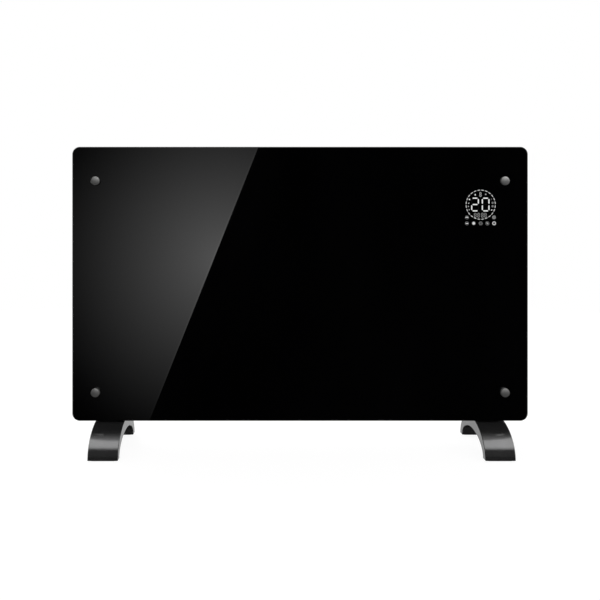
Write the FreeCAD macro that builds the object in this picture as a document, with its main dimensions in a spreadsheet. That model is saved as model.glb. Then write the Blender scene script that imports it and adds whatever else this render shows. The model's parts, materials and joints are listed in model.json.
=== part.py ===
import FreeCAD, Part
import math
import os
import re
import Sketcher

# Glass panel heater: X runs to the right seen from the front, Y to the back, Z up.
# The origin lies on the floor, under the middle of the two feet. All lengths are in millimetres.

VALUES = {
    # Glass panel
    "glass_side_overhang": 30.0,
    "glass_top_overhang": 23.4,
    "glass_bottom_overhang": 3.6,
    "glass_thickness": 5.0,
    "glass_corner_radius": 12.5,
    "glass_edge_bevel": 1.2,
    "glass_front": 32.0,
    "glass_gap": 9.0,
    # Fixings that clamp the glass
    "fixing_inset": 9.5,
    "fixing_below_top": 33.6,
    "fixing_above_bottom": 44.4,
    "fixing_hole": 7.0,
    "cap_diameter": 14.4,
    "cap_height": 8.0,
    "cap_edge_bevel": 1.0,
    "cap_bore_depth": 5.8,
    "bolt_diameter": 4.0,
    "bolt_clearance": 0.1,
    "bolt_grip": 5.0,
    "bolt_head_diameter": 8.0,
    "bolt_head_height": 2.6,
    "washer_diameter": 13.0,
    "washer_thickness": 0.8,
    "spacer_diameter": 12.0,
    # Casing
    "sheet": 1.0,
    "overrun": 1.0,
    "casing_width": 700.0,
    "casing_height": 430.0,
    "casing_depth": 53.0,
    "casing_bottom": 54.0,
    "casing_corner_radius": 8.0,
    "casing_back_radius": 4.0,
    "flange_width": 12.0,
    "flange_notch": 16.0,
    "plate_screw_inset": 50.0,
    "plate_screw_count": 4,
    "plate_screw_diameter": 3.0,
    "plate_screw_head": 5.6,
    "plate_screw_head_height": 2.0,
    "plate_screw_length": 6.0,
    "screw_clearance": 0.1,
    # Louvres pressed out of the back
    "louvre_length": 88.0,
    "louvre_height": 9.0,
    "louvre_reach": 4.0,
    "louvre_row_pitch": 14.0,
    "louvre_rows": 3,
    "louvre_column_pitch": 108.0,
    "louvre_columns": 5,
    "louvre_inset": 75.0,
    "louvre_rise": 14.0,
    # Inlet slots in the bottom
    "inlet_length": 64.0,
    "inlet_width": 5.0,
    "inlet_row_pitch": 12.0,
    "inlet_rows": 3,
    "inlet_column_pitch": 80.0,
    "inlet_columns": 6,
    "inlet_inset": 126.0,
    # Keyholes for hanging on a wall
    "keyhole_spread": 400.0,
    "keyhole_below_top": 60.0,
    "keyhole_head": 10.0,
    "keyhole_neck": 5.0,
    "keyhole_rise": 10.0,
    # Outlet grille in the top
    "grille_end_margin": 30.0,
    "grille_depth": 32.0,
    "grille_height": 10.0,
    "grille_wall": 1.5,
    "grille_lip": 4.0,
    "grille_lip_thickness": 1.2,
    "grille_clearance": 0.2,
    "vane_count": 4,
    "vane_pitch": 7.0,
    "vane_thickness": 1.2,
    "vane_lean": 4.5,
    "rib_count": 9,
    "rib_thickness": 1.6,
    "rib_height": 7.0,
    # Wall between the hot chamber and the electronics
    "partition_inset": 110.0,
    "partition_flange": 12.0,
    "partition_margin": 15.0,
    "partition_front_gap": 2.0,
    "cable_hole": 14.0,
    # Heat shield on the back wall
    "shield_side_margin": 15.0,
    "shield_height": 220.0,
    "shield_gap": 8.0,
    "shield_sheet": 0.8,
    "shield_rise": 56.0,
    # Heating elements
    "element_left_margin": 66.0,
    "element_right_margin": 64.0,
    "element_from_back": 30.0,
    "element_rise": 92.0,
    "element_pitch": 56.0,
    "hub_diameter": 14.0,
    "rod_diameter": 8.0,
    "rod_clearance": 0.1,
    "fin_reach": 19.0,
    "fin_thickness": 2.0,
    "fin_tip_width": 9.0,
    "fin_angle": 45.0,
    "fin_count": 4,
    "rod_stick_out": 16.0,
    "pin_diameter": 3.0,
    "pin_length": 9.0,
    # Insulators and brackets that carry the elements
    "insulator_diameter": 15.0,
    "insulator_collar": 19.0,
    "insulator_length": 13.0,
    "insulator_collar_length": 3.0,
    "insulator_gap": 0.2,
    "bracket_sheet": 1.2,
    "bracket_margin": 16.0,
    "bracket_reach": 42.0,
    "bracket_flange": 16.0,
    "bracket_screw_diameter": 4.0,
    "bracket_screw_head": 7.6,
    "bracket_screw_head_height": 2.4,
    "bracket_screw_length": 6.0,
    "bracket_screw_inset": 9.0,
    # Thermal cut-out on the heat shield
    "cutout_right": 114.0,
    "cutout_rise": 80.0,
    "cutout_cup_diameter": 15.8,
    "cutout_cup_height": 6.0,
    "cutout_base_diameter": 17.4,
    "cutout_base_height": 5.5,
    "cutout_ear_spread": 24.0,
    "cutout_ear_width": 8.0,
    "cutout_ear_thickness": 0.8,
    "cutout_blade_width": 6.3,
    "cutout_blade_thickness": 0.8,
    "cutout_blade_length": 8.0,
    # Display behind the glass
    "display_inset": 48.0,
    "display_below_top": 72.6,
    "display_frame_width": 62.0,
    "display_frame_height": 80.0,
    "display_frame_drop": 4.5,
    "display_frame_thickness": 6.0,
    "digit_width": 15.0,
    "digit_height": 26.0,
    "digit_pitch": 17.8,
    "digit_clearance": 0.4,
    "digit_thickness": 4.5,
    "ring_diameter": 50.0,
    "dash_count": 24,
    "dash_length": 4.2,
    "dash_width": 1.8,
    "touch_diameter": 6.4,
    "touch_clearance": 0.2,
    "touch_pitch": 11.3,
    "touch_drop": 31.0,
    "touch_upper_drop": 21.0,
    "display_board_inset": 1.0,
    "board_thickness": 1.6,
    # Box behind the display
    "box_width": 56.0,
    "box_height": 74.0,
    "box_wall": 2.0,
    "box_depth": 19.0,
    "box_flange": 6.0,
    "window_clearance": 1.0,
    "box_screw_diameter": 2.0,
    "box_screw_head": 4.0,
    "box_screw_head_height": 1.6,
    "box_screw_length": 4.0,
    # Power board
    "power_inset": 55.0,
    "power_rise": 160.0,
    "power_width": 76.0,
    "power_height": 150.0,
    "power_hole_inset": 5.0,
    "pillar_diameter": 6.0,
    "pillar_height": 8.0,
    "board_screw_diameter": 3.0,
    "board_screw_head": 5.5,
    "board_screw_head_height": 1.8,
    "board_screw_length": 6.0,
    "relay_width": 16.0,
    "relay_height": 20.0,
    "relay_depth": 16.0,
    "relay_round": 1.0,
    "relay_pitch": 20.0,
    "relay_rise": 50.0,
    "core_width": 34.0,
    "core_height": 28.0,
    "core_depth": 16.0,
    "bobbin_width": 20.0,
    "bobbin_height": 36.0,
    "bobbin_depth": 22.0,
    "transformer_rise": 8.0,
    "capacitor_diameter": 13.0,
    "capacitor_length": 22.0,
    "capacitor_bevel": 1.0,
    "capacitor_right": 24.0,
    "capacitor_drop": 26.0,
    "terminal_width": 50.0,
    "terminal_height": 14.0,
    "terminal_depth": 16.0,
    "terminal_drop": 58.0,
    "terminal_count": 4,
    "terminal_pitch": 11.5,
    "terminal_hole": 4.5,
    "terminal_hole_depth": 9.0,
    # Room-temperature sensor by the inlet
    "sensor_from_partition": 25.0,
    "sensor_diameter": 5.0,
    "sensor_length": 22.0,
    "sensor_tip_bevel": 2.0,
    "sensor_fit": 0.1,
    "clip_length": 10.0,
    "clip_width": 9.0,
    "clip_height": 14.0,
    "clip_mouth": 3.6,
    "clip_bore_rise": 9.0,
    # Power switch in the right side
    "switch_rise": 60.0,
    "bezel_width": 21.0,
    "bezel_height": 31.0,
    "bezel_thickness": 2.0,
    "bezel_round": 1.2,
    "switch_body_width": 18.4,
    "switch_body_height": 27.4,
    "switch_body_depth": 20.0,
    "switch_clearance": 0.2,
    "rocker_width": 14.0,
    "rocker_half_height": 10.4,
    "rocker_crest": 6.2,
    "rocker_dish": 4.4,
    "rocker_root": 4.0,
    "rocker_root_half_height": 6.0,
    "rocker_side_gap": 0.3,
    "rocker_end_gap": 1.3,
    "rocker_well_depth": 13.0,
    "rocker_pivot_depth": 2.5,
    "rocker_pin_diameter": 3.0,
    "rocker_pin_reach": 1.2,
    "rocker_angle": 10.0,
    "rocker_round": 0.6,
    "pivot_clearance": 0.05,
    "switch_blade_width": 6.3,
    "switch_blade_thickness": 0.8,
    "switch_blade_length": 8.0,
    "switch_blade_pitch": 14.0,
    # Tip-over switch on the casing floor
    "tilt_inset": 80.0,
    "tilt_width": 26.0,
    "tilt_inner_width": 18.0,
    "tilt_depth": 18.0,
    "tilt_height": 40.0,
    "tilt_base": 3.0,
    "tilt_ear": 8.0,
    "tilt_pivot_height": 32.0,
    "tilt_pin_diameter": 3.0,
    "tilt_pin_overhang": 1.0,
    "arm_width": 4.0,
    "arm_thickness": 6.0,
    "arm_length": 16.0,
    "bob_diameter": 13.0,
    "bob_thickness": 14.0,
    "nib_height": 7.4,
    "microswitch_depth": 10.0,
    "microswitch_height": 10.0,
    "microswitch_round": 0.8,
    "microswitch_blade_width": 3.2,
    "microswitch_blade_thickness": 0.6,
    "microswitch_blade_length": 5.0,
    "microswitch_blade_pitch": 8.0,
    "tilt_blade_count": 3,
    "tilt_screw_diameter": 3.0,
    "tilt_screw_head": 5.5,
    "tilt_screw_head_height": 2.0,
    "tilt_screw_length": 5.0,
    # Cord gland in the back
    "gland_inset": 50.0,
    "gland_rise": 26.0,
    "gland_bore": 7.6,
    "gland_barrel": 13.0,
    "gland_collar": 20.0,
    "gland_collar_thickness": 3.0,
    "gland_nose": 15.0,
    "gland_nose_length": 11.0,
    "gland_nose_bevel": 1.5,
    "gland_inside": 9.0,
    "gland_clearance": 0.1,
    "gland_nut_width": 18.0,
    "gland_nut_thickness": 4.0,
    # Feet
    "foot_inset": 32.0,
    "foot_width": 49.0,
    "foot_depth": 200.0,
    "foot_height": 49.0,
    "arch_depth": 166.0,
    "arch_height": 30.0,
    "foot_edge": 0.8,
    "saddle_width": 37.0,
    "saddle_depth": 44.0,
    "saddle_root": 14.0,
    "foot_screw_pitch": 26.0,
    "foot_screw_diameter": 5.0,
    "foot_screw_head": 8.5,
    "foot_screw_head_height": 5.0,
    "foot_screw_length": 18.0,
    "foot_screw_tip": 1.0,
    "foot_screw_recess": 9.6,
    "nut_plate_width": 34.0,
    "nut_plate_depth": 42.0,
    "nut_plate_thickness": 3.0,
    "nut_plate_round": 3.0,
    "pad_width": 39.0,
    "pad_depth": 11.0,
    "pad_thickness": 2.0,
    "pad_stick_out": 1.0,
    "pad_inset": 3.0,
    "pad_clearance": 0.1,
    "pad_round": 2.0,
}

doc = FreeCAD.newDocument("glass_panel_heater")
table = doc.addObject("Spreadsheet::Sheet", "Sizes")
for row, (alias, value) in enumerate(VALUES.items(), start=1):
    table.set("A%d" % row, alias)
    table.set("B%d" % row, str(value))
    table.setAlias("B%d" % row, alias)
doc.recompute()

# Places that several pieces share, written in the sheet's names
GLASS_BACK = "(glass_thickness - glass_front)"
PLATE_FRONT = "(glass_thickness + glass_gap - glass_front)"
PLATE_BACK = "(glass_thickness + glass_gap - glass_front + sheet)"
CASING_BACK = "(glass_thickness + glass_gap - glass_front + casing_depth)"
WALL = "(glass_thickness + glass_gap - glass_front + casing_depth - sheet)"
TRAY_MIDDLE = "(glass_thickness + glass_gap - glass_front + sheet / 2 + casing_depth / 2)"
FLOOR = "(casing_bottom + sheet)"
CASING_CENTRE = "(casing_bottom + casing_height / 2)"
TRAY_DEPTH = "(casing_depth - sheet)"
GLASS_WIDTH = "(casing_width + 2 * glass_side_overhang)"
GLASS_HEIGHT = "(casing_height + glass_top_overhang + glass_bottom_overhang)"
GLASS_CENTRE = "(casing_bottom + (casing_height + glass_top_overhang - glass_bottom_overhang) / 2)"
FIXING_X = "(casing_width / 2 - fixing_inset)"
FIXING_TOP = "(casing_bottom + casing_height - fixing_below_top)"
FIXING_BOTTOM = "(casing_bottom + fixing_above_bottom)"
GRILLE_LENGTH = "(casing_width - 2 * grille_end_margin)"
RIB_PITCH = "((casing_width - 2 * grille_end_margin) / (rib_count + 1))"
PARTITION_X = "(casing_width / 2 - partition_inset)"
DISPLAY_X = "(casing_width / 2 - display_inset)"
DISPLAY_CENTRE = "(casing_bottom + casing_height - display_below_top)"
ELEMENT_X = "((element_left_margin - element_right_margin - partition_inset) / 2)"
ELEMENT_LENGTH = "(casing_width - partition_inset - element_left_margin - element_right_margin)"
ELEMENT_Y = "(glass_thickness + glass_gap - glass_front + casing_depth - sheet - element_from_back)"
LOWER_ELEMENT = "(casing_bottom + sheet + element_rise)"
UPPER_ELEMENT = "(casing_bottom + sheet + element_rise + element_pitch)"
POWER_X = "(casing_width / 2 - power_inset)"
POWER_CENTRE = "(casing_bottom + sheet + power_rise)"
POWER_FACE = "(%s - pillar_height - board_thickness)" % WALL

SENSOR_X = "(casing_width / 2 - partition_inset - sensor_from_partition)"
TILT_X = "(casing_width / 2 - tilt_inset)"
GLAND_X = "(casing_width / 2 - gland_inset)"
FOOT_X = "(casing_width / 2 - foot_inset)"

WORD = re.compile(r"[a-z][a-z_]+")
SUBPARTS = []


def named(text):
    # A size's name becomes the sheet's cell; other words, such as functions, stay as they are.
    return WORD.sub(lambda word: "Sizes." + word.group() if word.group() in VALUES else word.group(), text)


def bind(item, path, text):
    item.setExpression(path, named(text))


def place(item, x="0", y="0", z="0"):
    for axis, text in zip("xyz", (x, y, z)):
        bind(item, "Placement.Base." + axis, text)


def keep(item):
    SUBPARTS.append(item)
    return item


def new_body(label):
    body = doc.addObject("PartDesign::Body", label)
    body.Label = label
    return body


def origin_part(body, role):
    return [item for item in body.Origin.OriginFeatures if item.Role == role][0]


def new_sketch(body, plane, x="0", y="0", lift="0", turn=None):
    item = body.newObject("Sketcher::SketchObject", body.Name + "_sketch")
    item.AttachmentSupport = [(origin_part(body, plane), "")]
    item.MapMode = "FlatFace"
    for axis, text in zip("xyz", (x, y, lift)):
        bind(item, "AttachmentOffset.Base." + axis, text)
    if turn:
        upright = FreeCAD.Rotation(FreeCAD.Vector(0, 0, 1), 1)
        item.AttachmentOffset = FreeCAD.Placement(FreeCAD.Vector(), upright)
        bind(item, "AttachmentOffset.Rotation.Angle", turn)
    return item


def tie(item, name, text, kind, *where, start=1.0):
    # A constraint whose value follows the sheet; it starts from a unit shape unless told otherwise.
    index = item.addConstraint(Sketcher.Constraint(kind, *where, start))
    item.renameConstraint(index, name)
    bind(item, "Constraints." + name, text)


def fix_point(item, geometry, point, x, y):
    for axis, text, line in (("X", x, -2), ("Y", y, -1)):
        if text == "0":
            item.addConstraint(Sketcher.Constraint("PointOnObject", geometry, point, line))
        else:
            name = "at_%s_%d_%d" % (axis.lower(), geometry, point)
            tie(item, name, text, "Distance" + axis, -1, 1, geometry, point)


def draw_lines(item, points):
    first = item.GeometryCount
    vectors = [FreeCAD.Vector(x, y, 0) for x, y in points]
    count = len(vectors)
    for index in range(count):
        item.addGeometry(Part.LineSegment(vectors[index], vectors[(index + 1) % count]), False)
    for index in range(count):
        after = first + (index + 1) % count
        item.addConstraint(Sketcher.Constraint("Coincident", first + index, 2, after, 1))
    return first


def rectangle(item, width, height):
    # A rectangle centred on the sketch's origin
    first = draw_lines(item, [(-1, -1), (1, -1), (1, 1), (-1, 1)])
    for line in (first, first + 2):
        item.addConstraint(Sketcher.Constraint("Horizontal", line))
    for line in (first + 1, first + 3):
        item.addConstraint(Sketcher.Constraint("Vertical", line))
    item.addConstraint(Sketcher.Constraint("Symmetric", first, 1, first + 2, 1, -1, 1))
    tie(item, "width_%d" % first, width, "DistanceX", first, 1, first, 2)
    tie(item, "height_%d" % first, height, "DistanceY", first + 1, 1, first + 1, 2)
    return item


def circle(item, diameter, x="0", y="0"):
    index = item.addGeometry(Part.Circle(FreeCAD.Vector(), FreeCAD.Vector(0, 0, 1), 1), False)
    fix_point(item, index, 3, x, y)
    tie(item, "diameter_%d" % index, diameter, "Diameter", index)
    return item


def outline(item, points):
    # A closed outline through points given as pairs of expressions
    count = len(points)
    spoke = FreeCAD.Vector(1, 0, 0)
    spin = FreeCAD.Rotation(FreeCAD.Vector(0, 0, 1), 360 / count)
    corners = []
    for _ in points:
        corners.append((spoke.x, spoke.y))
        spoke = spin.multVec(spoke)
    first = draw_lines(item, corners)
    for index, (x, y) in enumerate(points):
        fix_point(item, first + index, 1, x, y)
    return item


def slot(item, length, width):
    # A round-ended slot along the sketch's first axis
    zed = FreeCAD.Vector(0, 0, 1)
    quarter = math.pi / 2
    right = Part.Circle(FreeCAD.Vector(1, 0, 0), zed, 1)
    left = Part.Circle(FreeCAD.Vector(-1, 0, 0), zed, 1)
    item.addGeometry(Part.LineSegment(FreeCAD.Vector(-1, -1, 0), FreeCAD.Vector(1, -1, 0)), False)
    item.addGeometry(Part.ArcOfCircle(right, -quarter, quarter), False)
    item.addGeometry(Part.LineSegment(FreeCAD.Vector(1, 1, 0), FreeCAD.Vector(-1, 1, 0)), False)
    item.addGeometry(Part.ArcOfCircle(left, quarter, 3 * quarter), False)
    for index in range(4):
        item.addConstraint(Sketcher.Constraint("Tangent", index, 2, (index + 1) % 4, 1))
    item.addConstraint(Sketcher.Constraint("Horizontal", 0))
    item.addConstraint(Sketcher.Constraint("Equal", 1, 3))
    item.addConstraint(Sketcher.Constraint("Symmetric", 1, 3, 3, 3, -1, 1))
    tie(item, "end_radius", "(%s) / 2" % width, "Radius", 1)
    tie(item, "end_spread", "(%s) - (%s)" % (length, width), "DistanceX", 3, 3, 1, 3)
    return item


def half_ellipse(item, span, rise):
    # The upper half of an ellipse that stands on the sketch's first axis
    wide = FreeCAD.Vector(size(span) / 2, 0, 0)
    tall = FreeCAD.Vector(0, size(rise), 0)
    curve = Part.Ellipse(wide, tall, FreeCAD.Vector())
    arc = item.addGeometry(Part.ArcOfEllipse(curve, 0, math.pi), False)
    item.exposeInternalGeometry(arc)
    item.addConstraint(Sketcher.Constraint("Coincident", arc, 3, -1, 1))
    item.addConstraint(Sketcher.Constraint("Horizontal", arc + 1))
    item.addConstraint(Sketcher.Constraint("PointOnObject", arc, 1, -1))
    item.addConstraint(Sketcher.Constraint("PointOnObject", arc, 2, -1))
    tie(item, "span_%d" % arc, span, "Distance", arc + 1, 1, arc + 1, 2, start=size(span))
    tie(item, "rise_%d" % arc, "2 * " + rise, "Distance", arc + 2, 1, arc + 2, 2, start=2 * size(rise))
    return arc


def size(name):
    return float(table.get(name))


def pad(body, profile, length, both=False, back=False):
    feature = body.newObject("PartDesign::Pad", body.Name + "_pad")
    feature.Profile = profile
    feature.SideType = "Symmetric" if both else "One side"
    feature.Reversed = back
    bind(feature, "Length", length)
    return feature


def cut(body, profile, length, both=False, back=False):
    # A pocket that has to take something away
    doc.recompute()
    before = body.Shape.Volume
    feature = body.newObject("PartDesign::Pocket", body.Name + "_pocket")
    feature.Profile = profile
    feature.SideType = "Symmetric" if both else "One side"
    feature.Reversed = back
    bind(feature, "Length", length)
    doc.recompute()
    if not body.Shape.Volume < before:
        raise ValueError("a pocket of %s cuts nothing" % body.Label)
    return feature


def repeat(body, features, axis, pitch, count, axis_two=None, pitch_two=None, count_two=None):
    feature = body.newObject("PartDesign::LinearPattern", body.Name + "_row")
    feature.Originals = features
    feature.Direction = (origin_part(body, axis), [""])
    feature.Mode = "Spacing"
    bind(feature, "Offset", pitch)
    bind(feature, "Occurrences", count)
    if axis_two:
        feature.Direction2 = (origin_part(body, axis_two), [""])
        feature.Mode2 = "Spacing"
        feature.Spacings2 = [-1]  # a negative entry leaves every gap at the pitch
        bind(feature, "Offset2", pitch_two)
        bind(feature, "Occurrences2", count_two)
    body.Tip = feature
    return feature


def mirror(body, features, plane):
    feature = body.newObject("PartDesign::Mirrored", body.Name + "_mirror")
    feature.Originals = features
    feature.MirrorPlane = (origin_part(body, plane), [""])
    body.Tip = feature
    return feature


def spin(body, features, axis, count):
    feature = body.newObject("PartDesign::PolarPattern", body.Name + "_ring")
    feature.Originals = features
    feature.Axis = (origin_part(body, axis), [""])
    feature.Angle = 360
    bind(feature, "Occurrences", count)
    body.Tip = feature
    return feature


def soften(body, chosen, radius, kind="Fillet"):
    # Rounds or bevels the edges of the newest shape that the test picks out.
    doc.recompute()
    base = body.Tip
    names = ["Edge%d" % (index + 1) for index, edge in enumerate(base.Shape.Edges) if chosen(edge)]
    feature = body.newObject("PartDesign::" + kind, body.Name + "_edges")
    feature.Base = (base, names)
    bind(feature, "Radius" if kind == "Fillet" else "Size", radius)
    return feature


def reach(edge, axis):
    box = edge.BoundBox
    return {"x": (box.XMin, box.XMax), "y": (box.YMin, box.YMax), "z": (box.ZMin, box.ZMax)}[axis]


def along(axis):
    # Picks the straight edges that run along an axis.
    others = [other for other in "xyz" if other != axis]

    def test(edge):
        return all(math.isclose(*reach(edge, other), abs_tol=1e-6) for other in others)
    return test


def across(axis):
    # Picks the edges that lie square to an axis.
    return lambda edge: math.isclose(*reach(edge, axis), abs_tol=1e-6)


def level(axis, height):
    # Picks the edges that lie square to an axis at a height.
    def test(edge):
        low, high = reach(edge, axis)
        return math.isclose(low, height, abs_tol=1e-4) and math.isclose(high, height, abs_tol=1e-4)
    return test


def turned(label, points, axis="Y"):
    # A body turned about an axis: points are pairs of radius and place along it.
    body = new_body(label)
    if axis == "X":
        points = [(place_along, radius) for radius, place_along in points]
    profile = outline(new_sketch(body, "XZ_Plane" if axis == "Z" else "XY_Plane"), points)
    feature = body.newObject("PartDesign::Revolution", label + "_turn")
    feature.Profile = profile
    feature.ReferenceAxis = (profile, ["H_Axis" if axis == "X" else "V_Axis"])
    feature.Angle = 360
    return body


def screw(label, shank, length, head, head_height, axis="Y", flip=False):
    # The head lies beyond zero along the axis, and the shank runs the other way; flip swaps them.
    sign = "-" if flip else ""
    other = "" if flip else "-"
    points = [
        ("0", sign + head_height),
        (head + " / 2", sign + head_height),
        (head + " / 2", "0"),
        (shank + " / 2", "0"),
        (shank + " / 2", "%s(%s)" % (other, length)),
        ("0", "%s(%s)" % (other, length)),
    ]
    return turned(label, points, axis)


def group(label, master, places):
    # Several alike pieces as one object; a fourth value turns a piece about Z.
    links = []
    for index, spot in enumerate(places):
        link = doc.addObject("App::Link", "%s_%d" % (label, index + 1))
        link.LinkedObject = master
        if len(spot) > 3:
            link.Placement.Rotation = FreeCAD.Rotation(FreeCAD.Vector(0, 0, 1), spot[3])
        place(link, *spot[:3])
        links.append(link)
    item = doc.addObject("Part::Compound", label)
    item.Label = label
    item.Links = links
    return keep(item)


def signs(text):
    return ("-(%s)" % text, text)


FIXINGS = [(x, z) for x in signs(FIXING_X) for z in (FIXING_BOTTOM, FIXING_TOP)]
BOLT_HOLE = "(bolt_diameter + 2 * bolt_clearance)"
PLATE_SCREW_XS = ["(casing_width - 2 * plate_screw_inset) * (%d / (plate_screw_count - 1) - 1 / 2)" % index
                  for index in range(int(size("plate_screw_count")))]
PLATE_SCREW_ZS = ["(casing_bottom + flange_width / 2)", "(casing_bottom + casing_height - flange_width / 2)"]
BRACKET_OUT = "(%s / 2 + insulator_gap + insulator_collar_length)" % ELEMENT_LENGTH
BRACKET_SCREW_OUT = "(%s + (bracket_sheet + bracket_flange) / 2)" % BRACKET_OUT
BRACKET_MIDDLE = "(casing_bottom + sheet + element_rise + element_pitch / 2)"
BRACKET_SCREW_RISE = "(element_pitch / 2 + bracket_margin - bracket_screw_inset)"
BRACKET_SCREWS = [(ELEMENT_X + " + " + x, z)
                  for x in signs(BRACKET_SCREW_OUT) for z in signs(BRACKET_SCREW_RISE)]
FOOT_SCREW_YS = [TRAY_MIDDLE + " + " + y for y in signs("foot_screw_pitch / 2")]
TILT_SCREW_YS = signs("(tilt_depth / 2 + tilt_ear / 2)")
BOX_SCREWS = [(x, z) for x in signs("(box_width + box_flange) / 2")
              for z in signs("(box_height + box_flange) / 2")]
BOX_FLANGE_Y = "(glass_gap + sheet - display_frame_thickness - board_thickness)"
POWER_HOLES = [(x, z) for x in signs("(power_width / 2 - power_hole_inset)")
               for z in signs("(power_height / 2 - power_hole_inset)")]
TOUCHES = [("%d * touch_pitch" % step if step else "0", "-touch_drop") for step in range(-2, 3)]
TOUCHES += [("%d * touch_pitch" % step, "-touch_upper_drop") for step in (-2, 2)]


# Glass panel

def make_glass():
    body = new_body("glass_panel")
    pane = rectangle(new_sketch(body, "XZ_Plane"), GLASS_WIDTH, GLASS_HEIGHT)
    pad(body, pane, "glass_thickness", back=True)
    soften(body, along("y"), "glass_corner_radius")
    soften(body, across("y"), "glass_edge_bevel", "Chamfer")
    holes = new_sketch(body, "XZ_Plane", lift="overrun")
    for z in (FIXING_BOTTOM, FIXING_TOP):
        circle(holes, "fixing_hole", FIXING_X, "%s - %s" % (z, GLASS_CENTRE))
    pair = cut(body, holes, "glass_thickness + 2 * overrun")
    mirror(body, [pair], "YZ_Plane")
    place(body, "0", "-glass_front", GLASS_CENTRE)
    keep(body)


# Caps, washers, spacers and bolts that hold the glass off the casing

def make_fixings():
    bore = "(bolt_diameter / 2 + bolt_clearance)"
    cap = turned("fixing_cap", [
        (bore, "0"),
        ("cap_diameter / 2", "0"),
        ("cap_diameter / 2", "-cap_height"),
        ("0", "-cap_height"),
        ("0", "-cap_bore_depth"),
        (bore, "-cap_bore_depth"),
    ])
    soften(cap, level("y", -size("cap_height")), "cap_edge_bevel", "Chamfer")
    washer = turned("fixing_washer", [
        (bore, "0"),
        ("washer_diameter / 2", "0"),
        ("washer_diameter / 2", "washer_thickness"),
        (bore, "washer_thickness"),
    ])
    spacer = turned("fixing_spacer", [
        (bore, "0"),
        ("spacer_diameter / 2", "0"),
        ("spacer_diameter / 2", "glass_gap - washer_thickness"),
        (bore, "glass_gap - washer_thickness"),
    ])
    length = "2 * sheet + glass_gap + glass_thickness + washer_thickness + bolt_grip"
    bolt = screw("fixing_bolt", "bolt_diameter", length, "bolt_head_diameter", "bolt_head_height")
    washer_ys = ("-glass_front - washer_thickness", GLASS_BACK)
    group("fixing_caps", cap, [(x, "-glass_front - washer_thickness", z) for x, z in FIXINGS])
    group("fixing_washers", washer, [(x, y, z) for x, z in FIXINGS for y in washer_ys])
    group("fixing_spacers", spacer, [(x, GLASS_BACK + " + washer_thickness", z) for x, z in FIXINGS])
    group("fixing_bolts", bolt, [(x, PLATE_BACK + " + sheet", z) for x, z in FIXINGS])


# Pressed steel tray behind the glass: its own origin is the middle of its open front

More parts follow.
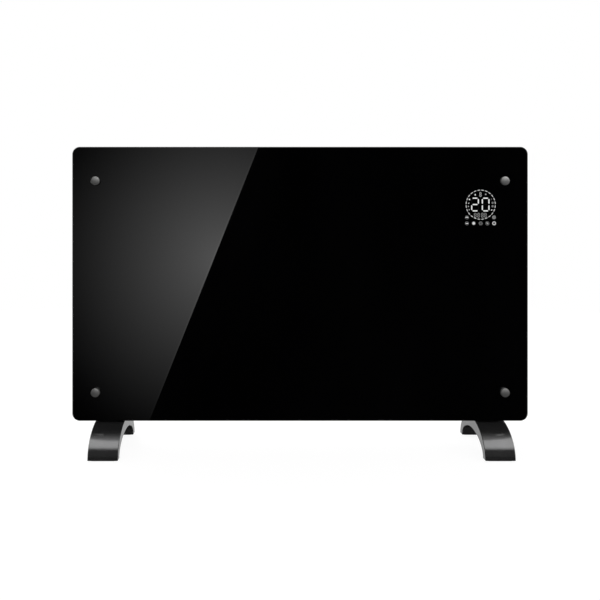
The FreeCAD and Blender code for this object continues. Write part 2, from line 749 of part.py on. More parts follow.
def make_rear_casing():
    body = new_body("rear_casing")
    pad(body, rectangle(new_sketch(body, "XZ_Plane"), "casing_width", "casing_height"), TRAY_DEPTH, back=True)
    cavity = new_sketch(body, "XZ_Plane", lift="overrun")
    rectangle(cavity, "casing_width - 2 * sheet", "casing_height - 2 * sheet")
    cut(body, cavity, TRAY_DEPTH + " - sheet + overrun")
    skin = size("casing_width") / 2 - size("sheet") / 2
    depth = size("casing_depth") - size("sheet")
    deep = along("y")
    soften(body, lambda edge: deep(edge) and abs(edge.BoundBox.XMin) < skin, "casing_corner_radius - sheet")
    soften(body, lambda edge: deep(edge) and abs(edge.BoundBox.XMin) > skin, "casing_corner_radius")
    soften(body, level("y", depth - size("sheet")), "casing_back_radius - sheet")
    soften(body, level("y", depth), "casing_back_radius")

    # Flanges turned in round the open front, notched at the corners
    strip = new_sketch(body, "XZ_Plane", y="casing_height / 2 - flange_width / 2")
    top = pad(body, rectangle(strip, "casing_width - 2 * flange_notch", "flange_width"), "sheet", back=True)
    mirror(body, [top], "XY_Plane")
    strip = new_sketch(body, "XZ_Plane", x="casing_width / 2 - flange_width / 2")
    side = pad(body, rectangle(strip, "flange_width", "casing_height - 2 * flange_notch"), "sheet", back=True)
    mirror(body, [side], "YZ_Plane")

    # Holes in the flanges
    through = "sheet + 2 * overrun"
    holes = new_sketch(body, "XZ_Plane", lift="overrun")
    for z in (FIXING_BOTTOM, FIXING_TOP):
        circle(holes, BOLT_HOLE, FIXING_X, "%s - %s" % (z, CASING_CENTRE))
    mirror(body, [cut(body, holes, through)], "YZ_Plane")
    holes = new_sketch(body, "XZ_Plane", lift="overrun")
    for x in PLATE_SCREW_XS:
        for z in PLATE_SCREW_ZS:
            circle(holes, "plate_screw_diameter + 2 * screw_clearance", x, "%s - %s" % (z, CASING_CENTRE))
    cut(body, holes, through)

    # Top opening for the grille
    opening = new_sketch(body, "XY_Plane", y=TRAY_DEPTH + " / 2", lift="casing_height / 2 + overrun")
    rectangle(opening, GRILLE_LENGTH + " + 2 * grille_clearance", "grille_depth + 2 * grille_clearance")
    cut(body, opening, through)

    # Inlet slots and screw holes in the bottom
    floor = "overrun + sheet - casing_height / 2"
    inlet = new_sketch(body, "XY_Plane", x="inlet_inset - casing_width / 2", lift=floor,
                       y=TRAY_DEPTH + " / 2 - (inlet_rows - 1) / 2 * inlet_row_pitch")
    inlets = cut(body, slot(inlet, "inlet_length", "inlet_width"), through)
    repeat(body, [inlets], "X_Axis", "inlet_column_pitch", "inlet_columns",
           "Y_Axis", "inlet_row_pitch", "inlet_rows")
    holes = new_sketch(body, "XY_Plane", y=TRAY_DEPTH + " / 2", lift=floor)
    for x in signs(FOOT_X):
        for y in signs("foot_screw_pitch / 2"):
            circle(holes, "foot_screw_diameter + 2 * screw_clearance", x, y)
    for y in TILT_SCREW_YS:
        circle(holes, "tilt_screw_diameter + 2 * screw_clearance", TILT_X, y)
    cut(body, holes, through)

    # Louvres pressed outwards, open below
    row = "sheet + louvre_rise - casing_height / 2"
    column = "louvre_inset - casing_width / 2"
    hood = new_sketch(body, "YZ_Plane", x=TRAY_DEPTH, y=row, lift=column)
    outline(hood, [("0", "0"), ("louvre_reach", "0"), ("0", "louvre_height")])
    bulge = pad(body, hood, "louvre_length", both=True)
    mouth = new_sketch(body, "YZ_Plane", x=TRAY_DEPTH + " - sheet", y=row, lift=column)
    outline(mouth, [("0", "0"), ("louvre_reach", "0"), ("0", "louvre_height")])
    hollow = cut(body, mouth, "louvre_length - 2 * sheet", both=True)
    repeat(body, [bulge, hollow], "X_Axis", "louvre_column_pitch", "louvre_columns",
           "Z_Axis", "louvre_row_pitch", "louvre_rows")

    # Keyholes, screw holes and the gland hole in the back
    back = "sheet + overrun - %s" % TRAY_DEPTH
    keyhole_z = "casing_height / 2 - keyhole_below_top"
    head = new_sketch(body, "XZ_Plane", x="keyhole_spread / 2", y=keyhole_z, lift=back)
    heads = cut(body, circle(head, "keyhole_head"), through)
    neck = new_sketch(body, "XZ_Plane", x="keyhole_spread / 2", y=keyhole_z + " + keyhole_rise / 2",
                      lift=back, turn="90")
    necks = cut(body, slot(neck, "keyhole_rise + keyhole_neck", "keyhole_neck"), through)
    mirror(body, [heads, necks], "YZ_Plane")
    holes = new_sketch(body, "XZ_Plane", lift=back)
    for x, z in BRACKET_SCREWS:
        hole_z = "%s - %s + %s" % (BRACKET_MIDDLE, CASING_CENTRE, z)
        circle(holes, "bracket_screw_diameter + 2 * screw_clearance", x, hole_z)
    circle(holes, "gland_barrel + 2 * gland_clearance", GLAND_X, "sheet + gland_rise - casing_height / 2")
    cut(body, holes, through)

    # Opening for the power switch in the right side
    opening = new_sketch(body, "YZ_Plane", x=TRAY_DEPTH + " / 2", y="sheet + switch_rise - casing_height / 2",
                         lift="casing_width / 2 + overrun")
    rectangle(opening, "switch_body_width + 2 * switch_clearance",
              "switch_body_height + 2 * switch_clearance")
    cut(body, opening, through)
    place(body, "0", PLATE_BACK, CASING_CENTRE)
    keep(body)


# Sheet that closes the tray behind the glass

def make_front_plate():
    body = new_body("front_plate")
    pad(body, rectangle(new_sketch(body, "XZ_Plane"), "casing_width", "casing_height"), "sheet", back=True)
    soften(body, along("y"), "casing_corner_radius")
    through = "sheet + 2 * overrun"
    holes = new_sketch(body, "XZ_Plane", lift="overrun")
    for x, z in FIXINGS:
        circle(holes, BOLT_HOLE, x, "%s - %s" % (z, CASING_CENTRE))
    for x in PLATE_SCREW_XS:
        for z in PLATE_SCREW_ZS:
            circle(holes, "plate_screw_diameter + 2 * screw_clearance", x, "%s - %s" % (z, CASING_CENTRE))
    box_z = "%s - display_frame_drop - %s" % (DISPLAY_CENTRE, CASING_CENTRE)
    for x, z in BOX_SCREWS:
        circle(holes, "box_screw_diameter + 2 * screw_clearance", DISPLAY_X + " + " + x, box_z + " + " + z)
    cut(body, holes, through)
    window = new_sketch(body, "XZ_Plane", x=DISPLAY_X, y=box_z, lift="overrun")
    rectangle(window, "box_width + 2 * window_clearance", "box_height + 2 * window_clearance")
    cut(body, window, through)
    place(body, "0", PLATE_FRONT, CASING_CENTRE)
    keep(body)
    master = screw("plate_screw", "plate_screw_diameter", "plate_screw_length",
                   "plate_screw_head", "plate_screw_head_height", flip=True)
    group("plate_screws", master, [(x, PLATE_FRONT, z) for x in PLATE_SCREW_XS for z in PLATE_SCREW_ZS])


# Warm-air grille that drops into the top opening: its origin is on the casing's top

def make_outlet_grille():
    body = new_body("outlet_grille")
    inside = (GRILLE_LENGTH + " - 2 * grille_wall", "grille_depth - 2 * grille_wall")
    lip = new_sketch(body, "XY_Plane")
    rectangle(lip, GRILLE_LENGTH + " + 2 * grille_lip", "grille_depth + 2 * grille_lip")
    pad(body, rectangle(lip, *inside), "grille_lip_thickness")
    rim = rectangle(new_sketch(body, "XY_Plane"), GRILLE_LENGTH, "grille_depth")
    pad(body, rectangle(rim, *inside), "grille_height", back=True)
    first = "-(vane_count - 1) / 2 * vane_pitch"
    leaf = new_sketch(body, "YZ_Plane", x=first)
    outline(leaf, [
        ("-vane_lean / 2", "-grille_height"),
        ("vane_thickness - vane_lean / 2", "-grille_height"),
        ("vane_thickness + vane_lean / 2", "0"),
        ("vane_lean / 2", "0"),
    ])
    vane = pad(body, leaf, GRILLE_LENGTH + " - grille_wall", both=True)
    repeat(body, [vane], "Y_Axis", "vane_pitch", "vane_count")
    web = new_sketch(body, "YZ_Plane", y="rib_height / 2 - grille_height",
                     lift="-(rib_count - 1) / 2 * " + RIB_PITCH)
    rib = pad(body, rectangle(web, "grille_depth - grille_wall", "rib_height"), "rib_thickness", both=True)
    repeat(body, [rib], "X_Axis", RIB_PITCH, "rib_count")
    place(body, "0", TRAY_MIDDLE, "casing_bottom + casing_height")
    keep(body)


# Inner sheets: the wall beside the electronics and the reflector on the back wall

def make_inner_sheets():
    body = new_body("partition_plate")
    depth = "(%s - 2 * sheet - partition_front_gap)" % TRAY_DEPTH
    height = "(casing_height - 2 * sheet - partition_margin)"
    wall = new_sketch(body, "YZ_Plane")
    outline(wall, [
        ("-" + depth, "0"), ("-casing_back_radius", "0"), ("0", "casing_back_radius"),
        ("0", height), ("-" + depth, height),
    ])
    pad(body, wall, "sheet")
    fold = new_sketch(body, "XZ_Plane", x="partition_flange / 2", y="(%s + casing_back_radius) / 2" % height)
    pad(body, rectangle(fold, "partition_flange", height + " - casing_back_radius"), "sheet")
    holes = new_sketch(body, "YZ_Plane", x="-%s / 2" % depth, y=height + " / 2", lift="sheet + overrun")
    for z in signs("element_pitch"):
        circle(holes, "cable_hole", "0", z)
    cut(body, holes, "sheet + 2 * overrun")
    place(body, PARTITION_X, WALL, FLOOR)
    keep(body)

    body = new_body("heat_shield")
    hat = new_sketch(body, "YZ_Plane")
    half, inner = "shield_height / 2", "(shield_height / 2 - shield_sheet)"
    outline(hat, [
        ("0", "-" + half), ("-shield_gap", "-" + half), ("-shield_gap", half), ("0", half),
        ("0", inner), ("shield_sheet - shield_gap", inner),
        ("shield_sheet - shield_gap", "-" + inner), ("0", "-" + inner),
    ])
    pad(body, hat, ELEMENT_LENGTH + " - 2 * shield_side_margin", both=True)
    place(body, ELEMENT_X, WALL, FLOOR + " + shield_rise + shield_height / 2")
    keep(body)


# Finned elements, their rods, and what carries them

def make_element(label, rod_label, height):
    body = new_body(label)
    pad(body, circle(new_sketch(body, "YZ_Plane"), "hub_diameter"), ELEMENT_LENGTH, both=True)
    leaf = new_sketch(body, "YZ_Plane", turn="fin_angle")
    edge, tip, under = "fin_thickness / 2", "fin_tip_width / 2", "(fin_reach - fin_thickness)"
    outline(leaf, [
        ("-" + edge, "0"), (edge, "0"), (edge, under), (tip, under),
        (tip, "fin_reach"), ("-" + tip, "fin_reach"), ("-" + tip, under), ("-" + edge, under),
    ])
    fin = pad(body, leaf, ELEMENT_LENGTH, both=True)
    spin(body, [fin], "X_Axis", "fin_count")
    bore = circle(new_sketch(body, "YZ_Plane"), "rod_diameter + 2 * rod_clearance")
    cut(body, bore, ELEMENT_LENGTH + " + 2 * overrun", both=True)
    place(body, ELEMENT_X, ELEMENT_Y, height)
    keep(body)

    half = "(%s / 2 + rod_stick_out)" % ELEMENT_LENGTH
    rod = turned(rod_label, [
        ("0", "-%s - pin_length" % half), ("pin_diameter / 2", "-%s - pin_length" % half),
        ("pin_diameter / 2", "-" + half), ("rod_diameter / 2", "-" + half),
        ("rod_diameter / 2", half), ("pin_diameter / 2", half),
        ("pin_diameter / 2", half + " + pin_length"), ("0", half + " + pin_length"),
    ], "X")
    place(rod, ELEMENT_X, ELEMENT_Y, height)
    keep(rod)


def make_bracket(label, side):
    # Side is minus on the left and empty on the right.
    body = new_body(label)
    height = "element_pitch + 2 * bracket_margin"
    web = new_sketch(body, "YZ_Plane", x="-bracket_reach / 2")
    pad(body, rectangle(web, "bracket_reach", height), "bracket_sheet", back=bool(side))
    flange_x = side + "(bracket_flange + bracket_sheet) / 2"
    fold = new_sketch(body, "XZ_Plane", x=flange_x)
    pad(body, rectangle(fold, "bracket_flange + bracket_sheet", height), "bracket_sheet")
    seats = new_sketch(body, "YZ_Plane")
    for z in signs("element_pitch / 2"):
        circle(seats, "insulator_diameter + 2 * rod_clearance", "-element_from_back", z)
    cut(body, seats, "2 * bracket_sheet + 2 * overrun", both=True)
    holes = new_sketch(body, "XZ_Plane", lift="bracket_sheet + overrun")
    for z in signs(BRACKET_SCREW_RISE):
        circle(holes, "bracket_screw_diameter + 2 * screw_clearance", flange_x, z)
    cut(body, holes, "bracket_sheet + 2 * overrun")
    place(body, "%s + %s%s" % (ELEMENT_X, side, BRACKET_OUT), WALL, BRACKET_MIDDLE)
    keep(body)


def make_heating():
    make_element("lower_element", "lower_rod", LOWER_ELEMENT)
    make_element("upper_element", "upper_rod", UPPER_ELEMENT)
    make_bracket("left_bracket", "-")
    make_bracket("right_bracket", "")
    bore = "(rod_diameter / 2 + rod_clearance)"
    bush = turned("element_insulator", [
        (bore, "0"), ("insulator_collar / 2", "0"), ("insulator_collar / 2", "insulator_collar_length"),
        ("insulator_diameter / 2", "insulator_collar_length"),
        ("insulator_diameter / 2", "insulator_length"), (bore, "insulator_length"),
    ], "X")
    end = "(%s / 2 + insulator_gap)" % ELEMENT_LENGTH
    group("element_insulators", bush, [
        ("%s + %s%s" % (ELEMENT_X, side, end), ELEMENT_Y, z, angle)
        for side, angle in (("-", 180), ("", 0)) for z in (LOWER_ELEMENT, UPPER_ELEMENT)])
    master = screw("bracket_screw", "bracket_screw_diameter", "bracket_screw_length",
                   "bracket_screw_head", "bracket_screw_head_height")
    group("bracket_screws", master, [(x, CASING_BACK, BRACKET_MIDDLE + " + " + z) for x, z in BRACKET_SCREWS])

    cutout = turned("thermal_cutout", [
        ("0", "0"), ("cutout_cup_diameter / 2", "0"), ("cutout_cup_diameter / 2", "-cutout_cup_height"),
        ("cutout_base_diameter / 2", "-cutout_cup_height"),
        ("cutout_base_diameter / 2", "-(cutout_cup_height + cutout_base_height)"),
        ("0", "-(cutout_cup_height + cutout_base_height)"),
    ])
    ears = new_sketch(cutout, "XZ_Plane")
    slot(ears, "cutout_ear_spread + cutout_ear_width", "cutout_ear_width")
    pad(cutout, ears, "cutout_ear_thickness")
    stem = new_sketch(cutout, "XZ_Plane", x="cutout_base_diameter / 4",
                      lift="cutout_cup_height + cutout_base_height")
    rectangle(stem, "cutout_blade_thickness", "cutout_blade_width")
    blade = pad(cutout, stem, "cutout_blade_length")
    mirror(cutout, [blade], "YZ_Plane")
    place(cutout, ELEMENT_X + " + cutout_right", WALL + " - shield_gap", UPPER_ELEMENT + " + cutout_rise")
    keep(cutout)


# Display and its box

def make_display():
    body = new_body("display_frame")
    block = new_sketch(body, "XZ_Plane", y="-display_frame_drop")
    rectangle(block, "display_frame_width", "display_frame_height")
    pad(body, block, "display_frame_thickness", back=True)
    through = "display_frame_thickness + 2 * overrun"
    window = new_sketch(body, "XZ_Plane", x="digit_pitch / 2", lift="overrun")
    rectangle(window, "digit_width + 2 * digit_clearance", "digit_height + 2 * digit_clearance")
    mirror(body, [cut(body, window, through)], "YZ_Plane")
    dash = new_sketch(body, "XZ_Plane", x="ring_diameter / 2 * sin(180 / dash_count)",
                      y="ring_diameter / 2 * cos(180 / dash_count)", lift="overrun", turn="-180 / dash_count")
    spin(body, [cut(body, rectangle(dash, "dash_length", "dash_width"), through)], "Y_Axis", "dash_count")
    wells = new_sketch(body, "XZ_Plane", lift="overrun")
    for x, z in TOUCHES:
        circle(wells, "touch_diameter + 2 * touch_clearance", x, z)
    cut(body, wells, through)
    place(body, DISPLAY_X, GLASS_BACK, DISPLAY_CENTRE)
    keep(body)

    board_front = GLASS_BACK + " + display_frame_thickness"
    body = new_body("display_board")
    panel = new_sketch(body, "XZ_Plane", y="-display_frame_drop")
    rectangle(panel, "display_frame_width - 2 * display_board_inset",
              "display_frame_height - 2 * display_board_inset")
    pad(body, panel, "board_thickness", back=True)
    place(body, DISPLAY_X, board_front, DISPLAY_CENTRE)
    keep(body)

    digit = new_body("digit_module")
    pad(digit, rectangle(new_sketch(digit, "XZ_Plane"), "digit_width", "digit_height"), "digit_thickness")
    group("digit_modules", digit, [(DISPLAY_X + " + " + x, board_front, DISPLAY_CENTRE)
                                   for x in signs("digit_pitch / 2")])
    button = turned("touch_pad", [
        ("0", "0"), ("touch_diameter / 2", "0"),
        ("touch_diameter / 2", "display_frame_thickness"), ("0", "display_frame_thickness"),
    ])
    group("touch_pads", button, [(DISPLAY_X + " + " + x, GLASS_BACK, DISPLAY_CENTRE + " + " + z)
                                 for x, z in TOUCHES])

    body = new_body("control_box")
    inside = ("box_width - 2 * box_wall", "box_height - 2 * box_wall")
    pad(body, rectangle(new_sketch(body, "XZ_Plane"), "box_width", "box_height"), "box_depth", back=True)
    collar = new_sketch(body, "XZ_Plane", lift="-" + BOX_FLANGE_Y)
    rectangle(collar, "box_width + 2 * box_flange", "box_height + 2 * box_flange")
    pad(body, collar, "box_wall", back=True)
    hollow = rectangle(new_sketch(body, "XZ_Plane", lift="overrun"), *inside)
    cut(body, hollow, "box_depth - box_wall + overrun")
    holes = new_sketch(body, "XZ_Plane")
    for x, z in BOX_SCREWS:
        circle(holes, "box_screw_diameter + 2 * screw_clearance", x, z)
    cut(body, holes, "box_depth")
    box_z = DISPLAY_CENTRE + " - display_frame_drop"
    place(body, DISPLAY_X, board_front + " + board_thickness", box_z)
    keep(body)
    master = screw("box_screw", "box_screw_diameter", "box_screw_length",
                   "box_screw_head", "box_screw_head_height")
    group("box_screws", master, [
        (DISPLAY_X + " + " + x, PLATE_BACK + " + box_wall", box_z + " + " + z) for x, z in BOX_SCREWS])


# Power board with its components

def make_power_board():
    body = new_body("power_board")
    panel = rectangle(new_sketch(body, "XZ_Plane"), "power_width", "power_height")
    pad(body, panel, "board_thickness")
    holes = new_sketch(body, "XZ_Plane", lift="board_thickness + overrun")
    for x, z in POWER_HOLES:
        circle(holes, "board_screw_diameter + 2 * screw_clearance", x, z)
    cut(body, holes, "board_thickness + 2 * overrun")
    place(body, POWER_X, WALL + " - pillar_height", POWER_CENTRE)
    keep(body)

    bore = "(board_screw_diameter / 2 + screw_clearance)"
    pillar = turned("board_pillar", [
        (bore, "0"), ("pillar_diameter / 2", "0"),
        ("pillar_diameter / 2", "pillar_height"), (bore, "pillar_height"),
    ])
    spots = [(POWER_X + " + " + x, POWER_CENTRE + " + " + z) for x, z in POWER_HOLES]
    group("board_pillars", pillar, [(x, WALL + " - pillar_height", z) for x, z in spots])
    master = screw("board_screw", "board_screw_diameter", "board_screw_length",
                   "board_screw_head", "board_screw_head_height", flip=True)
    group("board_screws", master, [(x, POWER_FACE, z) for x, z in spots])

    relay = new_body("relay")
    pad(relay, rectangle(new_sketch(relay, "XZ_Plane"), "relay_width", "relay_height"), "relay_depth")
    soften(relay, along("y"), "relay_round")
    group("relays", relay, [(POWER_X + " + " + x, POWER_FACE, POWER_CENTRE + " + relay_rise")
                            for x in signs("relay_pitch / 2")])

    body = new_body("transformer")
    pad(body, rectangle(new_sketch(body, "XZ_Plane"), "bobbin_width", "bobbin_height"), "bobbin_depth")
    core = new_sketch(body, "XZ_Plane", lift="(bobbin_depth - core_depth) / 2")
    pad(body, rectangle(core, "core_width", "core_height"), "core_depth")
    place(body, POWER_X, POWER_FACE, POWER_CENTRE + " + transformer_rise")
    keep(body)

    body = turned("filter_capacitor", [
        ("0", "0"), ("capacitor_diameter / 2", "0"),
        ("capacitor_diameter / 2", "-capacitor_length"), ("0", "-capacitor_length"),
    ])
    soften(body, level("y", -size("capacitor_length")), "capacitor_bevel", "Chamfer")
    place(body, POWER_X + " + capacitor_right", POWER_FACE, POWER_CENTRE + " - capacitor_drop")
    keep(body)

    body = new_body("terminal_block")
    pad(body, rectangle(new_sketch(body, "XZ_Plane"), "terminal_width", "terminal_height"), "terminal_depth")
    socket = new_sketch(body, "XZ_Plane", x="-(terminal_count - 1) / 2 * terminal_pitch",
                        lift="terminal_depth + overrun")
    hole = cut(body, circle(socket, "terminal_hole"), "terminal_hole_depth + overrun")
    repeat(body, [hole], "X_Axis", "terminal_pitch", "terminal_count")
    place(body, POWER_X, POWER_FACE, POWER_CENTRE + " - terminal_drop")
    keep(body)


# Room-temperature sensor in its clip

def make_sensor():
    body = turned("room_sensor", [
        ("0", "-sensor_length / 2"), ("sensor_diameter / 2", "-sensor_length / 2"),
        ("sensor_diameter / 2", "sensor_length / 2"), ("0", "sensor_length / 2"),
    ], "X")
    soften(body, level("x", -size("sensor_length") / 2), "sensor_tip_bevel", "Chamfer")
    place(body, SENSOR_X, TRAY_MIDDLE, FLOOR + " + clip_bore_rise")
    keep(body)

    body = new_body("sensor_clip")
    block = new_sketch(body, "YZ_Plane", y="clip_height / 2")
    pad(body, rectangle(block, "clip_width", "clip_height"), "clip_length", both=True)
    seat = circle(new_sketch(body, "YZ_Plane"), "sensor_diameter + 2 * sensor_fit", "0", "clip_bore_rise")
    cut(body, seat, "clip_length + overrun", both=True)
    mouth = new_sketch(body, "YZ_Plane", y="clip_height")
    rectangle(mouth, "clip_mouth", "2 * (clip_height - clip_bore_rise)")
    cut(body, mouth, "clip_length + overrun", both=True)
    place(body, SENSOR_X, TRAY_MIDDLE, FLOOR)
    keep(body)


# Rocker switch in the right side: X points out of the wall

def make_switch():
    height = FLOOR + " + switch_rise"
    body = new_body("switch_housing")
    pad(body, rectangle(new_sketch(body, "YZ_Plane"), "bezel_width", "bezel_height"), "bezel_thickness")
    soften(body, along("x"), "bezel_round")
    pad(body, rectangle(new_sketch(body, "YZ_Plane"), "switch_body_width", "switch_body_height"),
        "switch_body_depth", back=True)
    well = new_sketch(body, "YZ_Plane", lift="bezel_thickness + overrun")
    rectangle(well, "rocker_width + 2 * rocker_side_gap", "2 * (rocker_half_height + rocker_end_gap)")
    cut(body, well, "rocker_well_depth + overrun")
    pivot = new_sketch(body, "XZ_Plane")
    circle(pivot, "rocker_pin_diameter + 2 * pivot_clearance", "-rocker_pivot_depth", "0")
    cut(body, pivot, "rocker_width + 2 * (rocker_side_gap + rocker_pin_reach + pivot_clearance)", both=True)
    stem = new_sketch(body, "YZ_Plane", y="switch_blade_pitch / 2", lift="-switch_body_depth")
    rectangle(stem, "switch_blade_width", "switch_blade_thickness")
    blade = pad(body, stem, "switch_blade_length", back=True)
    mirror(body, [blade], "XY_Plane")
    place(body, "casing_width / 2", TRAY_MIDDLE, height)
    keep(body)

    body = new_body("power_rocker")
    paddle = new_sketch(body, "XZ_Plane")
    outline(paddle, [
        ("rocker_dish", "0"), ("rocker_crest", "rocker_half_height"),
        ("-rocker_root", "rocker_root_half_height"), ("-rocker_root", "-rocker_root_half_height"),
        ("rocker_crest", "-rocker_half_height"),
    ])
    pad(body, paddle, "rocker_width", both=True)
    crest = size("rocker_crest")
    soften(body, lambda edge: along("y")(edge) and level("x", crest)(edge), "rocker_round")
    pin = circle(new_sketch(body, "XZ_Plane"), "rocker_pin_diameter")
    pad(body, pin, "rocker_width + 2 * (rocker_side_gap + rocker_pin_reach)", both=True)
    body.Placement.Rotation = FreeCAD.Rotation(FreeCAD.Vector(0, -1, 0), size("rocker_angle"))
    bind(body, "Placement.Rotation.Angle", "rocker_angle")
    place(body, "casing_width / 2 - rocker_pivot_depth", TRAY_MIDDLE, height)
    keep(body)


# Tip-over switch: a pendulum between two cheeks under a small switch

def make_tilt_switch():
    body = new_body("tilt_housing")
    yoke = new_sketch(body, "XZ_Plane")
    half, inner = "tilt_width / 2", "tilt_inner_width / 2"
    outline(yoke, [
        ("-" + half, "0"), (half, "0"), (half, "tilt_height"), (inner, "tilt_height"),
        (inner, "tilt_base"), ("-" + inner, "tilt_base"),
        ("-" + inner, "tilt_height"), ("-" + half, "tilt_height"),
    ])
    pad(body, yoke, "tilt_depth", both=True)
    pad(body, rectangle(new_sketch(body, "XY_Plane"), "tilt_width", "tilt_depth + 2 * tilt_ear"), "tilt_base")
    holes = new_sketch(body, "XY_Plane", lift="tilt_base + overrun")
    for y in TILT_SCREW_YS:
        circle(holes, "tilt_screw_diameter + 2 * screw_clearance", "0", y)
    cut(body, holes, "tilt_base + 2 * overrun")
    pivot = new_sketch(body, "YZ_Plane")
    circle(pivot, "tilt_pin_diameter + 2 * pivot_clearance", "0", "tilt_pivot_height")
    cut(body, pivot, "tilt_width + 2 * overrun", both=True)
    place(body, TILT_X, TRAY_MIDDLE, FLOOR)
    keep(body)

    body = new_body("tilt_pendulum")
    pin = circle(new_sketch(body, "YZ_Plane"), "tilt_pin_diameter")
    pad(body, pin, "tilt_width + 2 * tilt_pin_overhang", both=True)
    arm = new_sketch(body, "YZ_Plane", y="(nib_height - arm_length) / 2")
    pad(body, rectangle(arm, "arm_width", "nib_height + arm_length"), "arm_thickness", both=True)
    bob = circle(new_sketch(body, "YZ_Plane"), "bob_diameter", "0", "-arm_length")
    pad(body, bob, "bob_thickness", both=True)
    place(body, TILT_X, TRAY_MIDDLE, FLOOR + " + tilt_pivot_height")
    keep(body)

    body = new_body("tilt_microswitch")
    block = rectangle(new_sketch(body, "XY_Plane"), "tilt_width", "microswitch_depth")
    pad(body, block, "microswitch_height")
    soften(body, along("z"), "microswitch_round")
    stem = new_sketch(body, "XY_Plane", x="-microswitch_blade_pitch", lift="microswitch_height")
    rectangle(stem, "microswitch_blade_thickness", "microswitch_blade_width")
    blade = pad(body, stem, "microswitch_blade_length")
    repeat(body, [blade], "X_Axis", "microswitch_blade_pitch", "tilt_blade_count")
    place(body, TILT_X, TRAY_MIDDLE, FLOOR + " + tilt_height")
    keep(body)
    master = screw("tilt_screw", "tilt_screw_diameter", "tilt_screw_length",
                   "tilt_screw_head", "tilt_screw_head_height", "Z")
    group("tilt_screws", master, [(TILT_X, TRAY_MIDDLE + " + " + y, FLOOR + " + tilt_base")
                                  for y in TILT_SCREW_YS])


# Cord gland and its nut in the back

def make_gland():
    bore, height = "gland_bore / 2", FLOOR + " + gland_rise"
    body = turned("cord_gland", [
        (bore, "-gland_inside"), ("gland_barrel / 2", "-gland_inside"), ("gland_barrel / 2", "0"),
        ("gland_collar / 2", "0"), ("gland_collar / 2", "gland_collar_thickness"),
        ("gland_nose / 2", "gland_collar_thickness"), ("gland_nose / 2", "gland_nose_length"),
        (bore, "gland_nose_length"),
    ])
    tip = level("y", size("gland_nose_length"))
    between = (size("gland_bore") + size("gland_nose")) / 2
    soften(body, lambda edge: tip(edge) and edge.BoundBox.XLength > between, "gland_nose_bevel", "Chamfer")
    place(body, GLAND_X, CASING_BACK, height)
    keep(body)

    body = new_body("gland_nut")
    corner = "gland_nut_width / 2 / cos(30)"
    hexagon = [("%s * cos(%d)" % (corner, angle), "%s * sin(%d)" % (corner, angle))
               for angle in range(30, 390, 60)]
    pad(body, outline(new_sketch(body, "XZ_Plane"), hexagon), "gland_nut_thickness")
    cut(body, circle(new_sketch(body, "XZ_Plane"), "gland_barrel + 2 * gland_clearance"),
        "gland_nut_thickness + overrun", back=True)
    place(body, GLAND_X, WALL, height)
    keep(body)


# Arched feet: each has its origin on the floor side of its own middle

def make_foot(label, side):
    body = new_body(label)
    arch = new_sketch(body, "YZ_Plane")
    outer = half_ellipse(arch, "foot_depth", "foot_height")
    inner = half_ellipse(arch, "arch_depth", "arch_height")
    for end in (1, 2):
        start = arch.getPoint(inner, end)
        stop = arch.getPoint(outer, end)
        line = arch.addGeometry(Part.LineSegment(start, stop), False)
        arch.addConstraint(Sketcher.Constraint("Coincident", line, 1, inner, end))
        arch.addConstraint(Sketcher.Constraint("Coincident", line, 2, outer, end))
    pad(body, arch, "foot_width", both=True)
    soften(body, across("x"), "foot_edge", "Chamfer")

    # Flat saddle under the casing
    top = "casing_bottom - pad_stick_out"
    seat = new_sketch(body, "XY_Plane", y=TRAY_MIDDLE, lift=top)
    pad(body, rectangle(seat, "saddle_width", "saddle_depth"), "saddle_root", back=True)
    holes = new_sketch(body, "XY_Plane", lift=top + " + overrun")
    recess = new_sketch(body, "XY_Plane",
                        lift=top + " - foot_screw_length + sheet + nut_plate_thickness + foot_screw_tip")
    for y in FOOT_SCREW_YS:
        circle(holes, "foot_screw_diameter + 2 * screw_clearance", "0", y)
        circle(recess, "foot_screw_recess", "0", y)
    cut(body, holes, "casing_bottom")
    cut(body, recess, "casing_bottom")

    # Recesses for the rubber pads
    sole = new_sketch(body, "XY_Plane", y="foot_depth / 2 - pad_inset - pad_depth / 2", lift="-overrun")
    rectangle(sole, "pad_width + 2 * pad_clearance", "pad_depth + 2 * pad_clearance")
    sunk = cut(body, sole, "pad_thickness - pad_stick_out + overrun", back=True)
    mirror(body, [sunk], "XZ_Plane")
    place(body, side + FOOT_X, "0", "pad_stick_out")
    keep(body)


def make_feet():
    make_foot("left_foot", "-")
    make_foot("right_foot", "")
    master = screw("foot_screw", "foot_screw_diameter", "foot_screw_length",
                   "foot_screw_head", "foot_screw_head_height", "Z", flip=True)
    base = "casing_bottom - foot_screw_length + sheet + nut_plate_thickness + foot_screw_tip"
    group("foot_screws", master, [(x, y, base) for x in signs(FOOT_X) for y in FOOT_SCREW_YS])

    plate = new_body("foot_nut_plate")
    strip = rectangle(new_sketch(plate, "XY_Plane"), "nut_plate_width", "nut_plate_depth")
    pad(plate, strip, "nut_plate_thickness")
    soften(plate, along("z"), "nut_plate_round")
    holes = new_sketch(plate, "XY_Plane", lift="nut_plate_thickness + overrun")
    for y in signs("foot_screw_pitch / 2"):
        circle(holes, "foot_screw_diameter + 2 * screw_clearance", "0", y)
    cut(plate, holes, "nut_plate_thickness + 2 * overrun")
    group("foot_nut_plates", plate, [(x, TRAY_MIDDLE, FLOOR) for x in signs(FOOT_X)])

    sole = new_body("foot_pad")
    pad(sole, rectangle(new_sketch(sole, "XY_Plane"), "pad_width", "pad_depth"), "pad_thickness")
    soften(sole, along("z"), "pad_round")
    group("foot_pads", sole, [(x, y, "0") for x in signs(FOOT_X)
                              for y in signs("foot_depth / 2 - pad_inset - pad_depth / 2")])


make_glass()
make_fixings()
make_rear_casing()
make_front_plate()
make_outlet_grille()
make_inner_sheets()
make_heating()
make_display()
make_power_board()
make_sensor()
make_switch()
make_tilt_switch()
make_gland()
make_feet()
doc.recompute()

